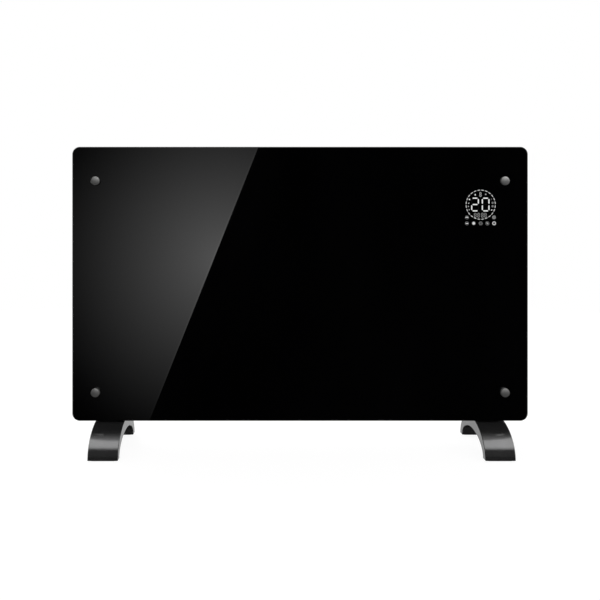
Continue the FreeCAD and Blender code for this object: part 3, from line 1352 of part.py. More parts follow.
# Nothing is written unless every object is sound.
for item in doc.Objects:
    if "Invalid" in item.State or "Error" in item.State:
        raise ValueError("%s is %s" % (item.Label, item.State))
for item in SUBPARTS:
    if item.Shape.isNull() or not item.Shape.isValid() or not item.Shape.Solids:
        raise ValueError("%s has no sound shape" % item.Label)

os.makedirs("parts", exist_ok=True)
for item in SUBPARTS:
    item.Shape.exportStep("parts/%s.step" % item.Label)
print("%d sub-parts written" % len(SUBPARTS))
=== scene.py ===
import json
import math
import bmesh
import bpy
from mathutils import Matrix, Vector

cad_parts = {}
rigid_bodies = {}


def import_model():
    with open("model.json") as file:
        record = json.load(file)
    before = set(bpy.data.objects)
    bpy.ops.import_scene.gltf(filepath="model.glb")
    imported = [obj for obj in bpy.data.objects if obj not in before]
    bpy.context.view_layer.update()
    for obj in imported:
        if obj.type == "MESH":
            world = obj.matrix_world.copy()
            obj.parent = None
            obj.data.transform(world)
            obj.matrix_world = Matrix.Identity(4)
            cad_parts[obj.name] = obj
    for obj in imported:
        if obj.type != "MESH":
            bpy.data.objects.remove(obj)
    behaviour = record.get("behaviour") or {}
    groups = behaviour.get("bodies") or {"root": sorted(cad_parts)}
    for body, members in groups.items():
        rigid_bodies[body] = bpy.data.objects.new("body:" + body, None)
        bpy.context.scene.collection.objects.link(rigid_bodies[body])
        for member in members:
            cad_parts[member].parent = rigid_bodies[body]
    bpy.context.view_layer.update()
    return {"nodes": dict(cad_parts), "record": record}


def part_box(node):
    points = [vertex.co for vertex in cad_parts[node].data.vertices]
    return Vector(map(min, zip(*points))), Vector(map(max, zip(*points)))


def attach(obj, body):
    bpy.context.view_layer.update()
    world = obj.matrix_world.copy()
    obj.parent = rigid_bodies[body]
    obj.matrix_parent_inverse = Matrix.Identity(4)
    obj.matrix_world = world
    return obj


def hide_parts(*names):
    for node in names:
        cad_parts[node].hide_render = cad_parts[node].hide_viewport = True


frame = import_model()
nodes = frame["nodes"]
mm = 0.001
print("frame loaded:", len(nodes), "nodes")


# Shader building blocks

noiseSpan = (0.3, 0.7)  # most of a noise texture's values lie between these


def newFinish(name):
    finish = bpy.data.materials.new(name)
    finish.use_nodes = True
    tree = finish.node_tree
    return finish, tree, tree.nodes["Principled BSDF"]


def addNode(tree, kind, sockets=None, **settings):
    # Sockets take a plain value or another node's output
    node = tree.nodes.new(kind)
    for key, value in settings.items():
        setattr(node, key, value)
    for key, value in (sockets or {}).items():
        if isinstance(value, bpy.types.NodeSocket):
            tree.links.new(value, node.inputs[key])
        else:
            node.inputs[key].default_value = value
    return node


def addMath(tree, operation, *values):
    return addNode(tree, "ShaderNodeMath", dict(enumerate(values)), operation=operation).outputs["Value"]


def surface(tree, stretch=(1, 1, 1), turn=(0, 0, 0)):
    place = addNode(tree, "ShaderNodeTexCoord").outputs["Object"]
    sockets = {"Vector": place, "Scale": stretch, "Rotation": turn}
    return addNode(tree, "ShaderNodeMapping", sockets).outputs["Vector"]


def grain(tree, scale, detail=3.0, stretch=(1, 1, 1)):
    sockets = {"Vector": surface(tree, stretch), "Scale": scale, "Detail": detail}
    return addNode(tree, "ShaderNodeTexNoise", sockets).outputs["Fac"]


def between(tree, value, low, high, span=noiseSpan, kind="LINEAR"):
    # The value's span brought to the range from low to high
    sockets = {"Value": value, "From Min": span[0], "From Max": span[1], "To Min": low, "To Max": high}
    return addNode(tree, "ShaderNodeMapRange", sockets, interpolation_type=kind).outputs["Result"]


def tinted(tree, value, dark, light):
    ramp = addNode(tree, "ShaderNodeValToRGB", {"Fac": value})
    for stop, place, color in zip(ramp.color_ramp.elements, noiseSpan, (dark, light)):
        stop.position = place
        stop.color = (*color, 1)
    return ramp.outputs["Color"]


def dress(tree, shader, look, color, gloss, relief, span=noiseSpan):
    # What every finish has: a colour, a gloss and a relief, each from a texture
    bump = addNode(tree, "ShaderNodeBump", {"Height": relief, "Strength": 1.0, "Distance": look["depth"]})
    tree.links.new(tinted(tree, color, look["dark"], look["light"]), shader.inputs["Base Color"])
    tree.links.new(between(tree, gloss, *look["rough"], span), shader.inputs["Roughness"])
    tree.links.new(bump.outputs["Normal"], shader.inputs["Normal"])


# Moulded, painted and fired surfaces: mottled colour and a fine grain that also sets the gloss

mouldedLooks = {
    "washer_rubber": {"dark": (0.012, 0.012, 0.012), "light": (0.02, 0.02, 0.02),
                      "rough": (0.6, 0.75), "grain": 2500, "mottle": 90, "depth": 0.02 * mm},
    "spacer_plastic": {"dark": (0.02, 0.02, 0.02), "light": (0.03, 0.03, 0.03),
                       "rough": (0.4, 0.5), "grain": 2200, "mottle": 80, "depth": 0.01 * mm},
    "casing_paint": {"dark": (0.014, 0.014, 0.015), "light": (0.02, 0.02, 0.021),
                     "rough": (0.38, 0.55), "grain": 900, "mottle": 7, "depth": 0.04 * mm},
    "grille_plastic": {"dark": (0.018, 0.018, 0.018), "light": (0.026, 0.026, 0.026),
                       "rough": (0.42, 0.55), "grain": 1800, "mottle": 15, "depth": 0.02 * mm},
    "insulator_ceramic": {"dark": (0.74, 0.71, 0.63), "light": (0.84, 0.82, 0.76),
                          "rough": (0.55, 0.7), "grain": 2600, "mottle": 120, "depth": 0.02 * mm},
    "cutout_phenolic": {"dark": (0.05, 0.03, 0.02), "light": (0.09, 0.06, 0.04),
                        "rough": (0.35, 0.5), "grain": 2200, "mottle": 260, "depth": 0.01 * mm},
    "foot_rubber": {"dark": (0.01, 0.01, 0.01), "light": (0.018, 0.018, 0.018),
                    "rough": (0.65, 0.8), "grain": 2000, "mottle": 110, "depth": 0.03 * mm},
    "display_plastic": {"dark": (0.012, 0.012, 0.012), "light": (0.018, 0.018, 0.018),
                        "rough": (0.45, 0.6), "grain": 2000, "mottle": 50, "depth": 0.01 * mm},
    "digit_plastic": {"dark": (0.02, 0.02, 0.022), "light": (0.04, 0.04, 0.043),
                      "rough": (0.15, 0.25), "grain": 1600, "mottle": 90, "depth": 0.005 * mm},
    "touch_foam": {"dark": (0.02, 0.02, 0.02), "light": (0.06, 0.06, 0.06),
                   "rough": (0.8, 0.95), "grain": 3500, "mottle": 900, "depth": 0.06 * mm},
    "relay_plastic": {"dark": (0.012, 0.012, 0.014), "light": (0.02, 0.02, 0.022),
                      "rough": (0.2, 0.3), "grain": 1800, "mottle": 90, "depth": 0.008 * mm},
    "capacitor_sleeve": {"dark": (0.012, 0.02, 0.07), "light": (0.02, 0.035, 0.11),
                         "rough": (0.22, 0.32), "grain": 900, "mottle": 120, "depth": 0.01 * mm},
    "terminal_nylon": {"dark": (0.62, 0.6, 0.53), "light": (0.72, 0.7, 0.64),
                       "rough": (0.4, 0.5), "grain": 1700, "mottle": 80, "depth": 0.01 * mm},
    "clip_nylon": {"dark": (0.6, 0.58, 0.52), "light": (0.7, 0.68, 0.62),
                   "rough": (0.4, 0.5), "grain": 1700, "mottle": 80, "depth": 0.01 * mm},
    "switch_plastic": {"dark": (0.012, 0.012, 0.013), "light": (0.019, 0.019, 0.02),
                       "rough": (0.4, 0.52), "grain": 2600, "mottle": 90, "depth": 0.015 * mm},
    "rocker_plastic": {"dark": (0.01, 0.01, 0.011), "light": (0.016, 0.016, 0.017),
                       "rough": (0.22, 0.32), "grain": 2600, "mottle": 90, "depth": 0.01 * mm},
    "tilt_plastic": {"dark": (0.58, 0.57, 0.53), "light": (0.68, 0.67, 0.63),
                     "rough": (0.4, 0.5), "grain": 1700, "mottle": 80, "depth": 0.01 * mm},
    "microswitch_plastic": {"dark": (0.015, 0.015, 0.015), "light": (0.024, 0.024, 0.024),
                            "rough": (0.35, 0.45), "grain": 1900, "mottle": 90, "depth": 0.01 * mm},
    "gland_nylon": {"dark": (0.013, 0.013, 0.013), "light": (0.02, 0.02, 0.02),
                    "rough": (0.38, 0.5), "grain": 1900, "mottle": 90, "depth": 0.01 * mm},
}


def mouldedFinish(name, look):
    finish, tree, shader = newFinish(name)
    skin = grain(tree, look["grain"], detail=2.0)
    dress(tree, shader, look, grain(tree, look["mottle"]), skin, skin)
    return finish


# Metal: lines along one way, with a slow change of colour and gloss

metalLooks = {
    "fixing_steel": {"dark": (0.52, 0.52, 0.51), "light": (0.62, 0.62, 0.61), "rough": (0.5, 0.62),
                     "lines": 900, "stretch": (0.06, 1, 1), "mottle": 160, "depth": 0.006 * mm},
    "zinc_steel": {"dark": (0.55, 0.56, 0.57), "light": (0.66, 0.67, 0.68), "rough": (0.25, 0.4),
                   "lines": 1200, "stretch": (1, 1, 0.4), "mottle": 220, "depth": 0.005 * mm},
    "shield_sheet": {"dark": (0.72, 0.72, 0.71), "light": (0.8, 0.8, 0.79), "rough": (0.18, 0.32),
                     "lines": 300, "stretch": (0.05, 1, 1), "mottle": 20, "depth": 0.01 * mm},
    "element_metal": {"dark": (0.44, 0.42, 0.39), "light": (0.58, 0.57, 0.55), "rough": (0.32, 0.46),
                      "lines": 700, "stretch": (0.03, 1, 1), "mottle": 18, "depth": 0.01 * mm},
    "rod_steel": {"dark": (0.3, 0.27, 0.23), "light": (0.45, 0.43, 0.4), "rough": (0.3, 0.42),
                  "lines": 800, "stretch": (0.1, 1, 1), "mottle": 30, "depth": 0.006 * mm},
    "foot_metal": {"dark": (0.26, 0.26, 0.262), "light": (0.3, 0.3, 0.302), "rough": (0.14, 0.2),
                   "lines": 650, "stretch": (0.05, 1, 1), "mottle": 25, "depth": 0.002 * mm,
                   "metal": 0.925, "edge": (0.52, 0.52, 0.52)},
    "sensor_metal": {"dark": (0.58, 0.58, 0.57), "light": (0.66, 0.66, 0.65), "rough": (0.25, 0.35),
                     "lines": 900, "stretch": (0.1, 1, 1), "mottle": 120, "depth": 0.004 * mm},
    "pendulum_steel": {"dark": (0.5, 0.5, 0.49), "light": (0.6, 0.6, 0.59), "rough": (0.28, 0.4),
                       "lines": 900, "stretch": (1, 1, 0.2), "mottle": 120, "depth": 0.006 * mm},
}


def metalFinish(name, look):
    finish, tree, shader = newFinish(name)
    lines = grain(tree, look["lines"], detail=4.0, stretch=look["stretch"])
    dress(tree, shader, look, grain(tree, look["mottle"]), lines, lines)
    shader.inputs["Metallic"].default_value = look.get("metal", 1.0)
    shader.inputs["Specular Tint"].default_value = (*look.get("edge", (1, 1, 1)), 1)
    return finish


# Black glass: polished, with the faint unevenness of a wiped pane and the waves that toughening leaves

glassLook = {"dark": (0.0005, 0.0005, 0.0006), "light": (0.0012, 0.0012, 0.0014), "rough": (0.004, 0.014),
             "ior": 1.5, "wipes": 9.0, "wipeStretch": (1, 1, 0.35),
             "waves": 4.0, "waveStretch": (0.3, 1, 1), "depth": 0.01 * mm}


def glassFinish(name, look):
    finish, tree, shader = newFinish(name)
    wipes = grain(tree, look["wipes"], detail=5.0, stretch=look["wipeStretch"])
    waves = grain(tree, look["waves"], detail=0.0, stretch=look["waveStretch"])
    dress(tree, shader, look, wipes, wipes, waves)
    shader.inputs["IOR"].default_value = look["ior"]
    return finish


# Zinc flowers on galvanised sheet

sheetLook = {"dark": (0.48, 0.5, 0.51), "light": (0.64, 0.66, 0.67), "rough": (0.28, 0.5),
             "flowers": 90, "grain": 500, "depth": 0.006 * mm}


def sheetFinish(name, look):
    finish, tree, shader = newFinish(name)
    flowers = addNode(tree, "ShaderNodeTexVoronoi", {"Vector": surface(tree), "Scale": look["flowers"]})
    shade = addNode(tree, "ShaderNodeSeparateColor", {"Color": flowers.outputs["Color"]}).outputs
    dress(tree, shader, look, shade["Red"], shade["Green"], grain(tree, look["grain"]), span=(0, 1))
    shader.inputs["Metallic"].default_value = 1.0
    return finish


# Circuit board: solder mask over copper tracks

boardLook = {"dark": (0.012, 0.075, 0.03), "light": (0.03, 0.15, 0.06), "rough": (0.25, 0.4),
             "tracks": 160, "trackWidth": 0.12, "trackBlur": 0.1, "trackShift": 0.37, "trackSquash": 0.6,
             "grain": 900, "depth": 0.03 * mm}


def boardFinish(name, look):
    finish, tree, shader = newFinish(name)
    upright = surface(tree, turn=(math.pi / 2, 0, 0))
    tracks = addNode(tree, "ShaderNodeTexBrick",
                     {"Vector": upright, "Scale": look["tracks"],
                      "Mortar Size": look["trackWidth"], "Mortar Smooth": look["trackBlur"]},
                     offset=look["trackShift"], squash=look["trackSquash"]).outputs["Fac"]
    dress(tree, shader, look, tracks, grain(tree, look["grain"]), tracks)
    return finish


# Laminated transformer core: thin varnished sheets edge on

coreLook = {"dark": (0.03, 0.03, 0.032), "light": (0.16, 0.16, 0.165), "rough": (0.35, 0.5), "metal": 0.6,
            "sheets": 550, "unevenness": 0.4, "grain": 700, "depth": 0.04 * mm}


def coreFinish(name, look):
    finish, tree, shader = newFinish(name)
    sheets = addNode(tree, "ShaderNodeTexWave",
                     {"Vector": surface(tree), "Scale": look["sheets"], "Distortion": look["unevenness"]},
                     bands_direction="Y").outputs["Fac"]
    dress(tree, shader, look, sheets, grain(tree, look["grain"]), sheets)
    shader.inputs["Metallic"].default_value = look["metal"]
    return finish


finishes = {name: mouldedFinish(name, look) for name, look in mouldedLooks.items()}
finishes.update({name: metalFinish(name, look) for name, look in metalLooks.items()})
finishes["black_glass"] = glassFinish("black_glass", glassLook)
finishes["galvanised_sheet"] = sheetFinish("galvanised_sheet", sheetLook)
finishes["circuit_board"] = boardFinish("circuit_board", boardLook)
finishes["transformer_core"] = coreFinish("transformer_core", coreLook)

for entry in frame["record"]["subparts"]:
    nodes[entry["node"]].material_slots[0].material = finishes[entry["material_slot"]]
print("finishes on the frame:", len(finishes))


# Mesh building blocks

def meshData(name, mesh):
    data = bpy.data.meshes.new(name)
    mesh.to_mesh(data)
    mesh.free()
    return data


def addObject(name, data):
    thing = bpy.data.objects.new(name, data)
    bpy.context.scene.collection.objects.link(thing)
    return thing


def newPiece(name, mesh, finish, body="heater", smooth=True):
    bmesh.ops.recalc_face_normals(mesh, faces=mesh.faces)
    for face in mesh.faces:
        face.smooth = smooth
    piece = addObject(name, meshData(name, mesh))
    piece.data.materials.append(finish)
    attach(piece, body)
    return piece


def cornerSpots(low, high, inset):
    # The (x, z) centres of four round pieces that fill the corners of a box
    return [(x, z) for x in (low.x + inset, high.x - inset) for z in (low.z + inset, high.z - inset)]


def circlePoints(centre, radius, steps, turn=0.0):
    angles = [turn + 2 * math.pi * step / steps for step in range(steps)]
    return [(centre[0] + radius * math.cos(a), centre[1] + radius * math.sin(a)) for a in angles]


def joinLoops(mesh, first, second):
    # Quads between two loops with as many points each
    for step in range(len(first)):
        after = (step + 1) % len(first)
        mesh.faces.new((first[step], second[step], second[after], first[after]))


def joinRound(mesh, loops):
    # Each loop joined to the next, and the last to the first
    for first, second in zip(loops, loops[1:] + loops[:1]):
        joinLoops(mesh, first, second)


def lathe(mesh, profile, centre, sides):
    # A profile of (radius, y) points, both ends on the axis, turned about a line along Y
    loops = []
    for radius, y in profile:
        points = circlePoints(centre, radius, sides if radius else 1)
        loops.append([mesh.verts.new((x, y, z)) for x, z in points])
    for step in range(sides):
        after = (step + 1) % sides
        mesh.faces.new((loops[0][0], loops[1][step], loops[1][after]))
    for first, second in zip(loops[1:-1], loops[2:-1]):
        joinLoops(mesh, first, second)
    for step in range(sides):
        after = (step + 1) % sides
        mesh.faces.new((loops[-2][step], loops[-1][0], loops[-2][after]))


def addPrism(mesh, outline, near, far):
    # An outline of (x, z) points drawn out along Y
    front = [mesh.verts.new((x, near, z)) for x, z in outline]
    back = [mesh.verts.new((x, far, z)) for x, z in outline]
    mesh.faces.new(front)
    mesh.faces.new(list(reversed(back)))
    joinLoops(mesh, front, back)


# Domed caps of the glass fixings, each with the blind bore that its bolt goes into

capLook = {"radius": 7.2 * mm, "edgeTilt": math.radians(16), "edgeRound": 0.5 * mm, "backEdge": 0.2 * mm,
           "bore": 2.1 * mm, "boreDepth": 5.8 * mm,
           "sides": 64, "domeSteps": 8, "edgeSteps": 4, "sharp": math.radians(50)}


def makeCaps():
    look = capLook
    low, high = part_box("fixing_caps")
    radius, edge = look["radius"], look["edgeRound"]
    crown = radius - edge
    dome = crown / math.sin(look["edgeTilt"])
    sag = dome * (1 - math.cos(look["edgeTilt"]))
    profile = []
    for step in range(look["domeSteps"] + 1):
        tilt = look["edgeTilt"] * step / look["domeSteps"]
        profile.append((dome * math.sin(tilt), low.y + dome * (1 - math.cos(tilt))))
    for step in range(1, look["edgeSteps"] + 1):
        turn = math.pi / 2 * step / look["edgeSteps"]
        profile.append((crown + edge * math.sin(turn), low.y + sag + edge * (1 - math.cos(turn))))
    profile += [(radius, high.y - look["backEdge"]), (radius - look["backEdge"], high.y)]
    profile += [(look["bore"], high.y), (look["bore"], high.y - look["boreDepth"])]
    profile.append((0, high.y - look["boreDepth"]))
    mesh = bmesh.new()
    for spot in cornerSpots(low, high, radius):
        lathe(mesh, profile, spot, look["sides"])
    caps = newPiece("domed_caps", mesh, finishes["fixing_steel"])
    caps.data.set_sharp_from_angle(angle=look["sharp"])
    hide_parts("fixing_caps")


makeCaps()
print("caps made")


# Cross-recessed heads of the screws that hold the brackets to the back

screwLook = {"head": 7.6 * mm, "headHeight": 2.4 * mm, "crown": 0.9 * mm, "edge": 0.25 * mm,
             "shank": 4.0 * mm, "slotWidth": 0.95 * mm, "slotLength": 4.3 * mm, "slotDepth": 1.5 * mm,
             "turns": (12, 57, 31, 78),  # degrees, so that no two screws stand alike
             "sides": 40, "crownSteps": 6, "sharp": math.radians(35)}


def screwCrosses(spots, face):
    # The tool that cuts the recesses: one cross-shaped prism for each head
    look = screwLook
    wide, tall = look["slotWidth"] / 2, look["slotLength"] / 2
    arm = [(wide, -wide), (tall, -wide), (tall, wide)]
    mesh = bmesh.new()
    for spot, turn in zip(spots, look["turns"]):
        outline = []
        for quarter in (0, 90, 180, 270):
            spin = Matrix.Rotation(math.radians(turn + quarter), 2)
            outline += [spin @ Vector(corner) + Vector(spot) for corner in arm]
        addPrism(mesh, outline, face - look["slotDepth"], face + look["slotDepth"])
    bmesh.ops.recalc_face_normals(mesh, faces=mesh.faces)
    return addObject("crosses", meshData("crosses", mesh))


def makeBackScrews():
    look = screwLook
    low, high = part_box("bracket_screws")
    radius, shank = look["head"] / 2, look["shank"] / 2
    rim, seat, steps = radius - look["edge"], high.y - look["headHeight"], look["crownSteps"]
    profile = [(rim * step / steps, high.y - look["crown"] * (step / steps) ** 2)
               for step in range(steps + 1)]
    profile += [(radius, high.y - look["crown"] - look["edge"]), (radius, seat)]
    profile += [(shank, seat), (shank, low.y), (0, low.y)]
    spots = cornerSpots(low, high, radius)
    mesh = bmesh.new()
    for spot in spots:
        lathe(mesh, profile, spot, look["sides"])
    screws = newPiece("back_screws", mesh, finishes["zinc_steel"])
    cutter = screwCrosses(spots, high.y)
    recess = screws.modifiers.new("crosses", "BOOLEAN")
    recess.operation = "DIFFERENCE"
    recess.object = cutter
    graph = bpy.context.evaluated_depsgraph_get()
    screws.data = bpy.data.meshes.new_from_object(screws.evaluated_get(graph))
    screws.modifiers.clear()
    bpy.data.objects.remove(cutter)
    screws.data.set_sharp_from_angle(angle=look["sharp"])
    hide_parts("bracket_screws")


makeBackScrews()
print("screws cut")


# Display: thin lit shapes on the face of the glass, in millimetres from the ring's centre

displayLook = {
    "right": 301.15 * mm, "up": 410.9 * mm, "thick": 0.12 * mm,
    "levels": {"lit_digits": 0.74, "lit_marks": 0.6, "lit_ring": 0.53, "half_marks": 0.28,
               "soft_marks": 0.17, "dim_marks": 0.1, "unlit_segments": 0.001},
    "ring": {"diameter": 48.6, "dashes": 24, "length": 4.5, "width": 1.2},
    "digits": {"shown": "20", "across": (-9.4, 8.3), "up": 0.3,
               "sizes": (13.0, 23.2, 2.0, 0.33)},  # width, height, bar and gap
    "counter": {"shown": "8888", "across": (-9.0, -3.5, 2.7, 7.9), "up": -17.7,
                "sizes": (4.0, 8.0, 0.95, 0.05)},
}
litLook = {"dark": (0.0014, 0.0014, 0.0015), "light": (0.003, 0.003, 0.0031), "rough": (0.34, 0.46),
           "grain": 2400, "mottle": 500, "depth": 0.002 * mm, "specular": 0.2}
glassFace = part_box("glass_panel")[0].y
markFace = glassFace - displayLook["thick"]


def litFinish(name, strength):
    finish = mouldedFinish(name, litLook)
    shader = finish.node_tree.nodes["Principled BSDF"]
    shader.inputs["Specular IOR Level"].default_value = litLook["specular"]
    shader.inputs["Emission Color"].default_value = (1, 1, 1, 1)
    shader.inputs["Emission Strength"].default_value = strength
    return finish


def onGlass(points):
    # From (right, up) in millimetres to (x, z)
    return [(displayLook["right"] + x * mm, displayLook["up"] + z * mm) for x, z in points]


def addPlate(mesh, outline, centre=(0, 0), flip=1):
    # A flat mark inside an outline, upside down where flip is -1
    points = [(centre[0] + x, centre[1] + z * flip) for x, z in outline]
    addPrism(mesh, onGlass(points), markFace, glassFace)


def addBand(mesh, centre, inner, outer, steps=28, turn=0.0):
    # A ring between two radii
    loops = []
    for radius, y in ((inner, glassFace), (inner, markFace), (outer, markFace), (outer, glassFace)):
        points = onGlass(circlePoints(centre, radius, steps, turn))
        loops.append([mesh.verts.new((x, y, z)) for x, z in points])
    joinRound(mesh, loops)


def addDisc(mesh, centre, radius, steps=24):
    addPlate(mesh, circlePoints(centre, radius, steps))


def addBar(mesh, start, end, width, point=0.35):
    # A straight bar with ends bevelled to a blunt point
    along = Vector((end[0] - start[0], end[1] - start[1]))
    length = along.length
    along.normalize()
    across = Vector((-along.y, along.x))
    side, bevel = width / 2, width * point
    shape = [(0, -side + bevel), (bevel, -side), (length - bevel, -side), (length, -side + bevel),
             (length, side - bevel), (length - bevel, side), (bevel, side), (0, side - bevel)]
    addPlate(mesh, [(start[0] + along.x * u + across.x * v, start[1] + along.y * u + across.y * v)
                    for u, v in shape])


segmentsOf = {"0": "abcdef", "2": "abged", "8": "abcdefg"}


def addDigit(mesh, letters, centre, width, height, bar, gap):
    half, rise = (width - bar) / 2, (height - bar) / 2
    ends = {
        "a": ((-half, rise), (half, rise)), "g": ((-half, 0), (half, 0)),
        "d": ((-half, -rise), (half, -rise)),
        "b": ((half, 0), (half, rise)), "c": ((half, -rise), (half, 0)),
        "f": ((-half, 0), (-half, rise)), "e": ((-half, -rise), (-half, 0)),
    }
    for letter in letters:
        (x0, z0), (x1, z1) = ends[letter]
        way = Vector((x1 - x0, z1 - z0)).normalized() * (bar / 2 + gap)
        addBar(mesh, (centre[0] + x0 + way.x, centre[1] + z0 + way.y),
               (centre[0] + x1 - way.x, centre[1] + z1 - way.y), bar)


# Marks round the digits and touch marks below them: brightness, shape and sizes, a row for each shape
dropShape = ((-1.2, -0.9), (0, -1.4), (1.2, -0.9), (1.1, 0.4), (0.2, 1.7), (-0.6, 0.7))
chevron = ((-2.2, -1.1), (0, -0.1), (2.2, -1.1), (2.2, 0.2), (0, 1.3), (-2.2, 0.2))
hexagon = (1.4, 1.95, 6, math.radians(30))
touchRadius = 3.1
modeMarks = {
    "topDrop": ("lit_marks", addPlate, dropShape, (-9.2, 16.6)),
    "leftDot": ("lit_digits", addDisc, (-18.7, 8.7), 1.2),
    "leftBarUpper": ("lit_marks", addBar, (-21.0, 1.7), (-18.9, 3.1), 1.3),
    "leftBarMiddle": ("lit_marks", addBar, (-20.9, -3.6), (-20.3, -2.0), 1.4),
    "leftBarLower": ("lit_marks", addBar, (-19.5, -9.2), (-18.7, -7.6), 1.3),
    "topRingLower": ("lit_marks", addBand, (-0.3, 15.14), *hexagon),
    "topRingUpper": ("lit_marks", addBand, (-0.3, 19.06), *hexagon),
    "topDot": ("half_marks", addDisc, (8.4, 17.3), 1.3),
    "rightBarUpper": ("dim_marks", addBar, (17.6, 10.4), (18.6, 8.0), 1.4),
    "rightRingUpper": ("soft_marks", addBand, (19.9, 3.2), 0.4, 1.8),
    "rightRingLower": ("soft_marks", addBand, (19.9, -2.6), 0.3, 1.9),
    "rightBarLower": ("lit_marks", addBar, (17.9, -9.9), (18.9, -7.6), 1.6),
}
touchMarks = {
    "upRing": ("soft_marks", addBand, (-22.9, -21.1), 2.55, touchRadius),
    "up": ("lit_digits", addPlate, chevron, (-22.9, -21.1)),
    "downRing": ("soft_marks", addBand, (-22.9, -31.1), 2.55, touchRadius),
    "down": ("lit_digits", addPlate, chevron, (-22.9, -31.1), -1),
    "fan": ("lit_marks", addDisc, (-11.6, -31.0), 2.4),
    "fanRing": ("dim_marks", addBand, (-11.6, -31.0), 2.5, touchRadius),
    "timerRing": ("half_marks", addBand, (0, -31.1), 2.7, touchRadius),
    "timer": ("dim_marks", addBand, (0, -31.1), 0.8, 2.2),
    "swingRing": ("half_marks", addBand, (11.2, -31.1), 2.7, touchRadius),
    "swing": ("lit_marks", addBar, (9.9, -29.8), (12.5, -32.4), 0.9),
    "swingLower": ("half_marks", addBar, (10.0, -32.2), (10.8, -31.47), 0.9),
    "swingUpper": ("half_marks", addBar, (11.6, -30.73), (12.4, -30.0), 0.9),
    "powerRing": ("lit_marks", addBand, (22.4, -31.1), 1.9, touchRadius),
    "power": ("half_marks", addDisc, (22.4, -31.1), 0.7),
    "lock": ("soft_marks", addDisc, (22.2, -21.1), 2.8),
    "lockRing": ("half_marks", addBand, (22.2, -21.1), 2.8, touchRadius),
}


def addDashes(mesh):
    ring = displayLook["ring"]
    for step in range(ring["dashes"]):
        turn = math.radians(360 / ring["dashes"] * (step + 0.5))
        middle = Vector((math.sin(turn), math.cos(turn))) * ring["diameter"] / 2
        along = Vector((math.cos(turn), -math.sin(turn))) * ring["length"] / 2
        addBar(mesh, middle - along, middle + along, ring["width"])


def makeDisplay():
    levels, digits, counter = displayLook["levels"], displayLook["digits"], displayLook["counter"]
    groups = {name: bmesh.new() for name in levels}
    for number, x in zip(digits["shown"], digits["across"]):
        lit = segmentsOf[number]
        unlit = [letter for letter in segmentsOf["8"] if letter not in lit]
        addDigit(groups["lit_digits"], lit, (x, digits["up"]), *digits["sizes"])
        addDigit(groups["unlit_segments"], unlit, (x, digits["up"]), *digits["sizes"])
    addDashes(groups["lit_ring"])
    for group, draw, *sizes in modeMarks.values():
        draw(groups[group], *sizes)
    for number, x in zip(counter["shown"], counter["across"]):
        addDigit(groups["half_marks"], segmentsOf[number], (x, counter["up"]), *counter["sizes"])
    for group, draw, *sizes in touchMarks.values():
        draw(groups[group], *sizes)
    for name, level in levels.items():
        newPiece(name, groups[name], litFinish(name, level), smooth=False)


makeDisplay()
print("display lit")


# Marks on the power rocker: a bar for on and a ring for off, inlaid in its two faces

rockerLook = {"barLength": 5.0 * mm, "barWidth": 1.1 * mm, "bevel": 0.04 * mm, "bevelSteps": 2,
              "ringRadius": 2.4 * mm, "line": 0.8 * mm, "ringSteps": 40,
              "proud": 0.08 * mm, "offset": 5.0 * mm, "lookFrom": 50 * mm}
inlayLook = {"dark": (0.66, 0.66, 0.65), "light": (0.76, 0.76, 0.75), "rough": (0.4, 0.5),
             "grain": 2600, "mottle": 200, "depth": 0.005 * mm}


def rockerFace(rise):
    # A place on the rocker's face, found from the right, with Z out of the face and Y up along it
    low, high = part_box("power_rocker")
    middle = (low + high) / 2
    start = Vector((high.x + rockerLook["lookFrom"], middle.y, middle.z + rise))
    hit, spot, normal, _ = nodes["power_rocker"].ray_cast(start, Vector((-1, 0, 0)))
    if not hit:
        raise ValueError("the rocker's face was not found")
    up = (Vector((0, 0, 1)) - normal * normal.z).normalized()
    place = Matrix((up.cross(normal), up, normal)).transposed().to_4x4()
    place.translation = spot
    return place


def onBar():
    mesh = bmesh.new()
    sizes = (rockerLook["barWidth"], rockerLook["barLength"], rockerLook["proud"] * 2, 1)
    bmesh.ops.create_cube(mesh, size=1.0, matrix=Matrix.Diagonal(sizes))
    bmesh.ops.bevel(mesh, geom=mesh.edges[:], offset=rockerLook["bevel"],
                    segments=rockerLook["bevelSteps"], affect="EDGES")
    return mesh


def offRing():
    mesh = bmesh.new()
    outer, lift = rockerLook["ringRadius"], rockerLook["proud"]
    inner = outer - rockerLook["line"]
    loops = []
    for radius, z in ((inner, -lift), (inner, lift), (outer, lift), (outer, -lift)):
        points = circlePoints((0, 0), radius, rockerLook["ringSteps"])
        loops.append([mesh.verts.new((x, y, z)) for x, y in points])
    joinRound(mesh, loops)
    return mesh


def makeRockerMarks():
    both = bmesh.new()
    for mark, rise in ((onBar(), rockerLook["offset"]), (offRing(), -rockerLook["offset"])):
        bmesh.ops.transform(mark, matrix=rockerFace(rise), verts=mark.verts)
        data = meshData("mark", mark)
        both.from_mesh(data)
        bpy.data.meshes.remove(data)
    inlay = mouldedFinish("rocker_inlay", inlayLook)
    newPiece("rocker_marks", both, inlay, "rocker", smooth=False)


makeRockerMarks()
print("rocker marked")


# Camera at the photograph's place: level, with the frame shifted instead of the lens tilted

cameraLook = {"place": (-0.0582, -1.652, 0.4005), "sensor": 36.0,
              "focal": 971.6, "aim": (265.15, 210.93), "frame": 600}  # these three in pixels


def makeCamera():
    camera = addObject("camera", bpy.data.cameras.new("camera"))
    camera.location = cameraLook["place"]
    camera.rotation_euler = (math.pi / 2, 0, 0)
    side = cameraLook["frame"]
    camera.data.sensor_width = cameraLook["sensor"]
    camera.data.lens = cameraLook["focal"] / side * cameraLook["sensor"]
    camera.data.shift_x = (side / 2 - cameraLook["aim"][0]) / side
    camera.data.shift_y = (cameraLook["aim"][1] - side / 2) / side
    bpy.context.scene.camera = camera


makeCamera()
print("camera placed")


# Studio: a white surround behind and above, a dim room in front and below, and a white floor

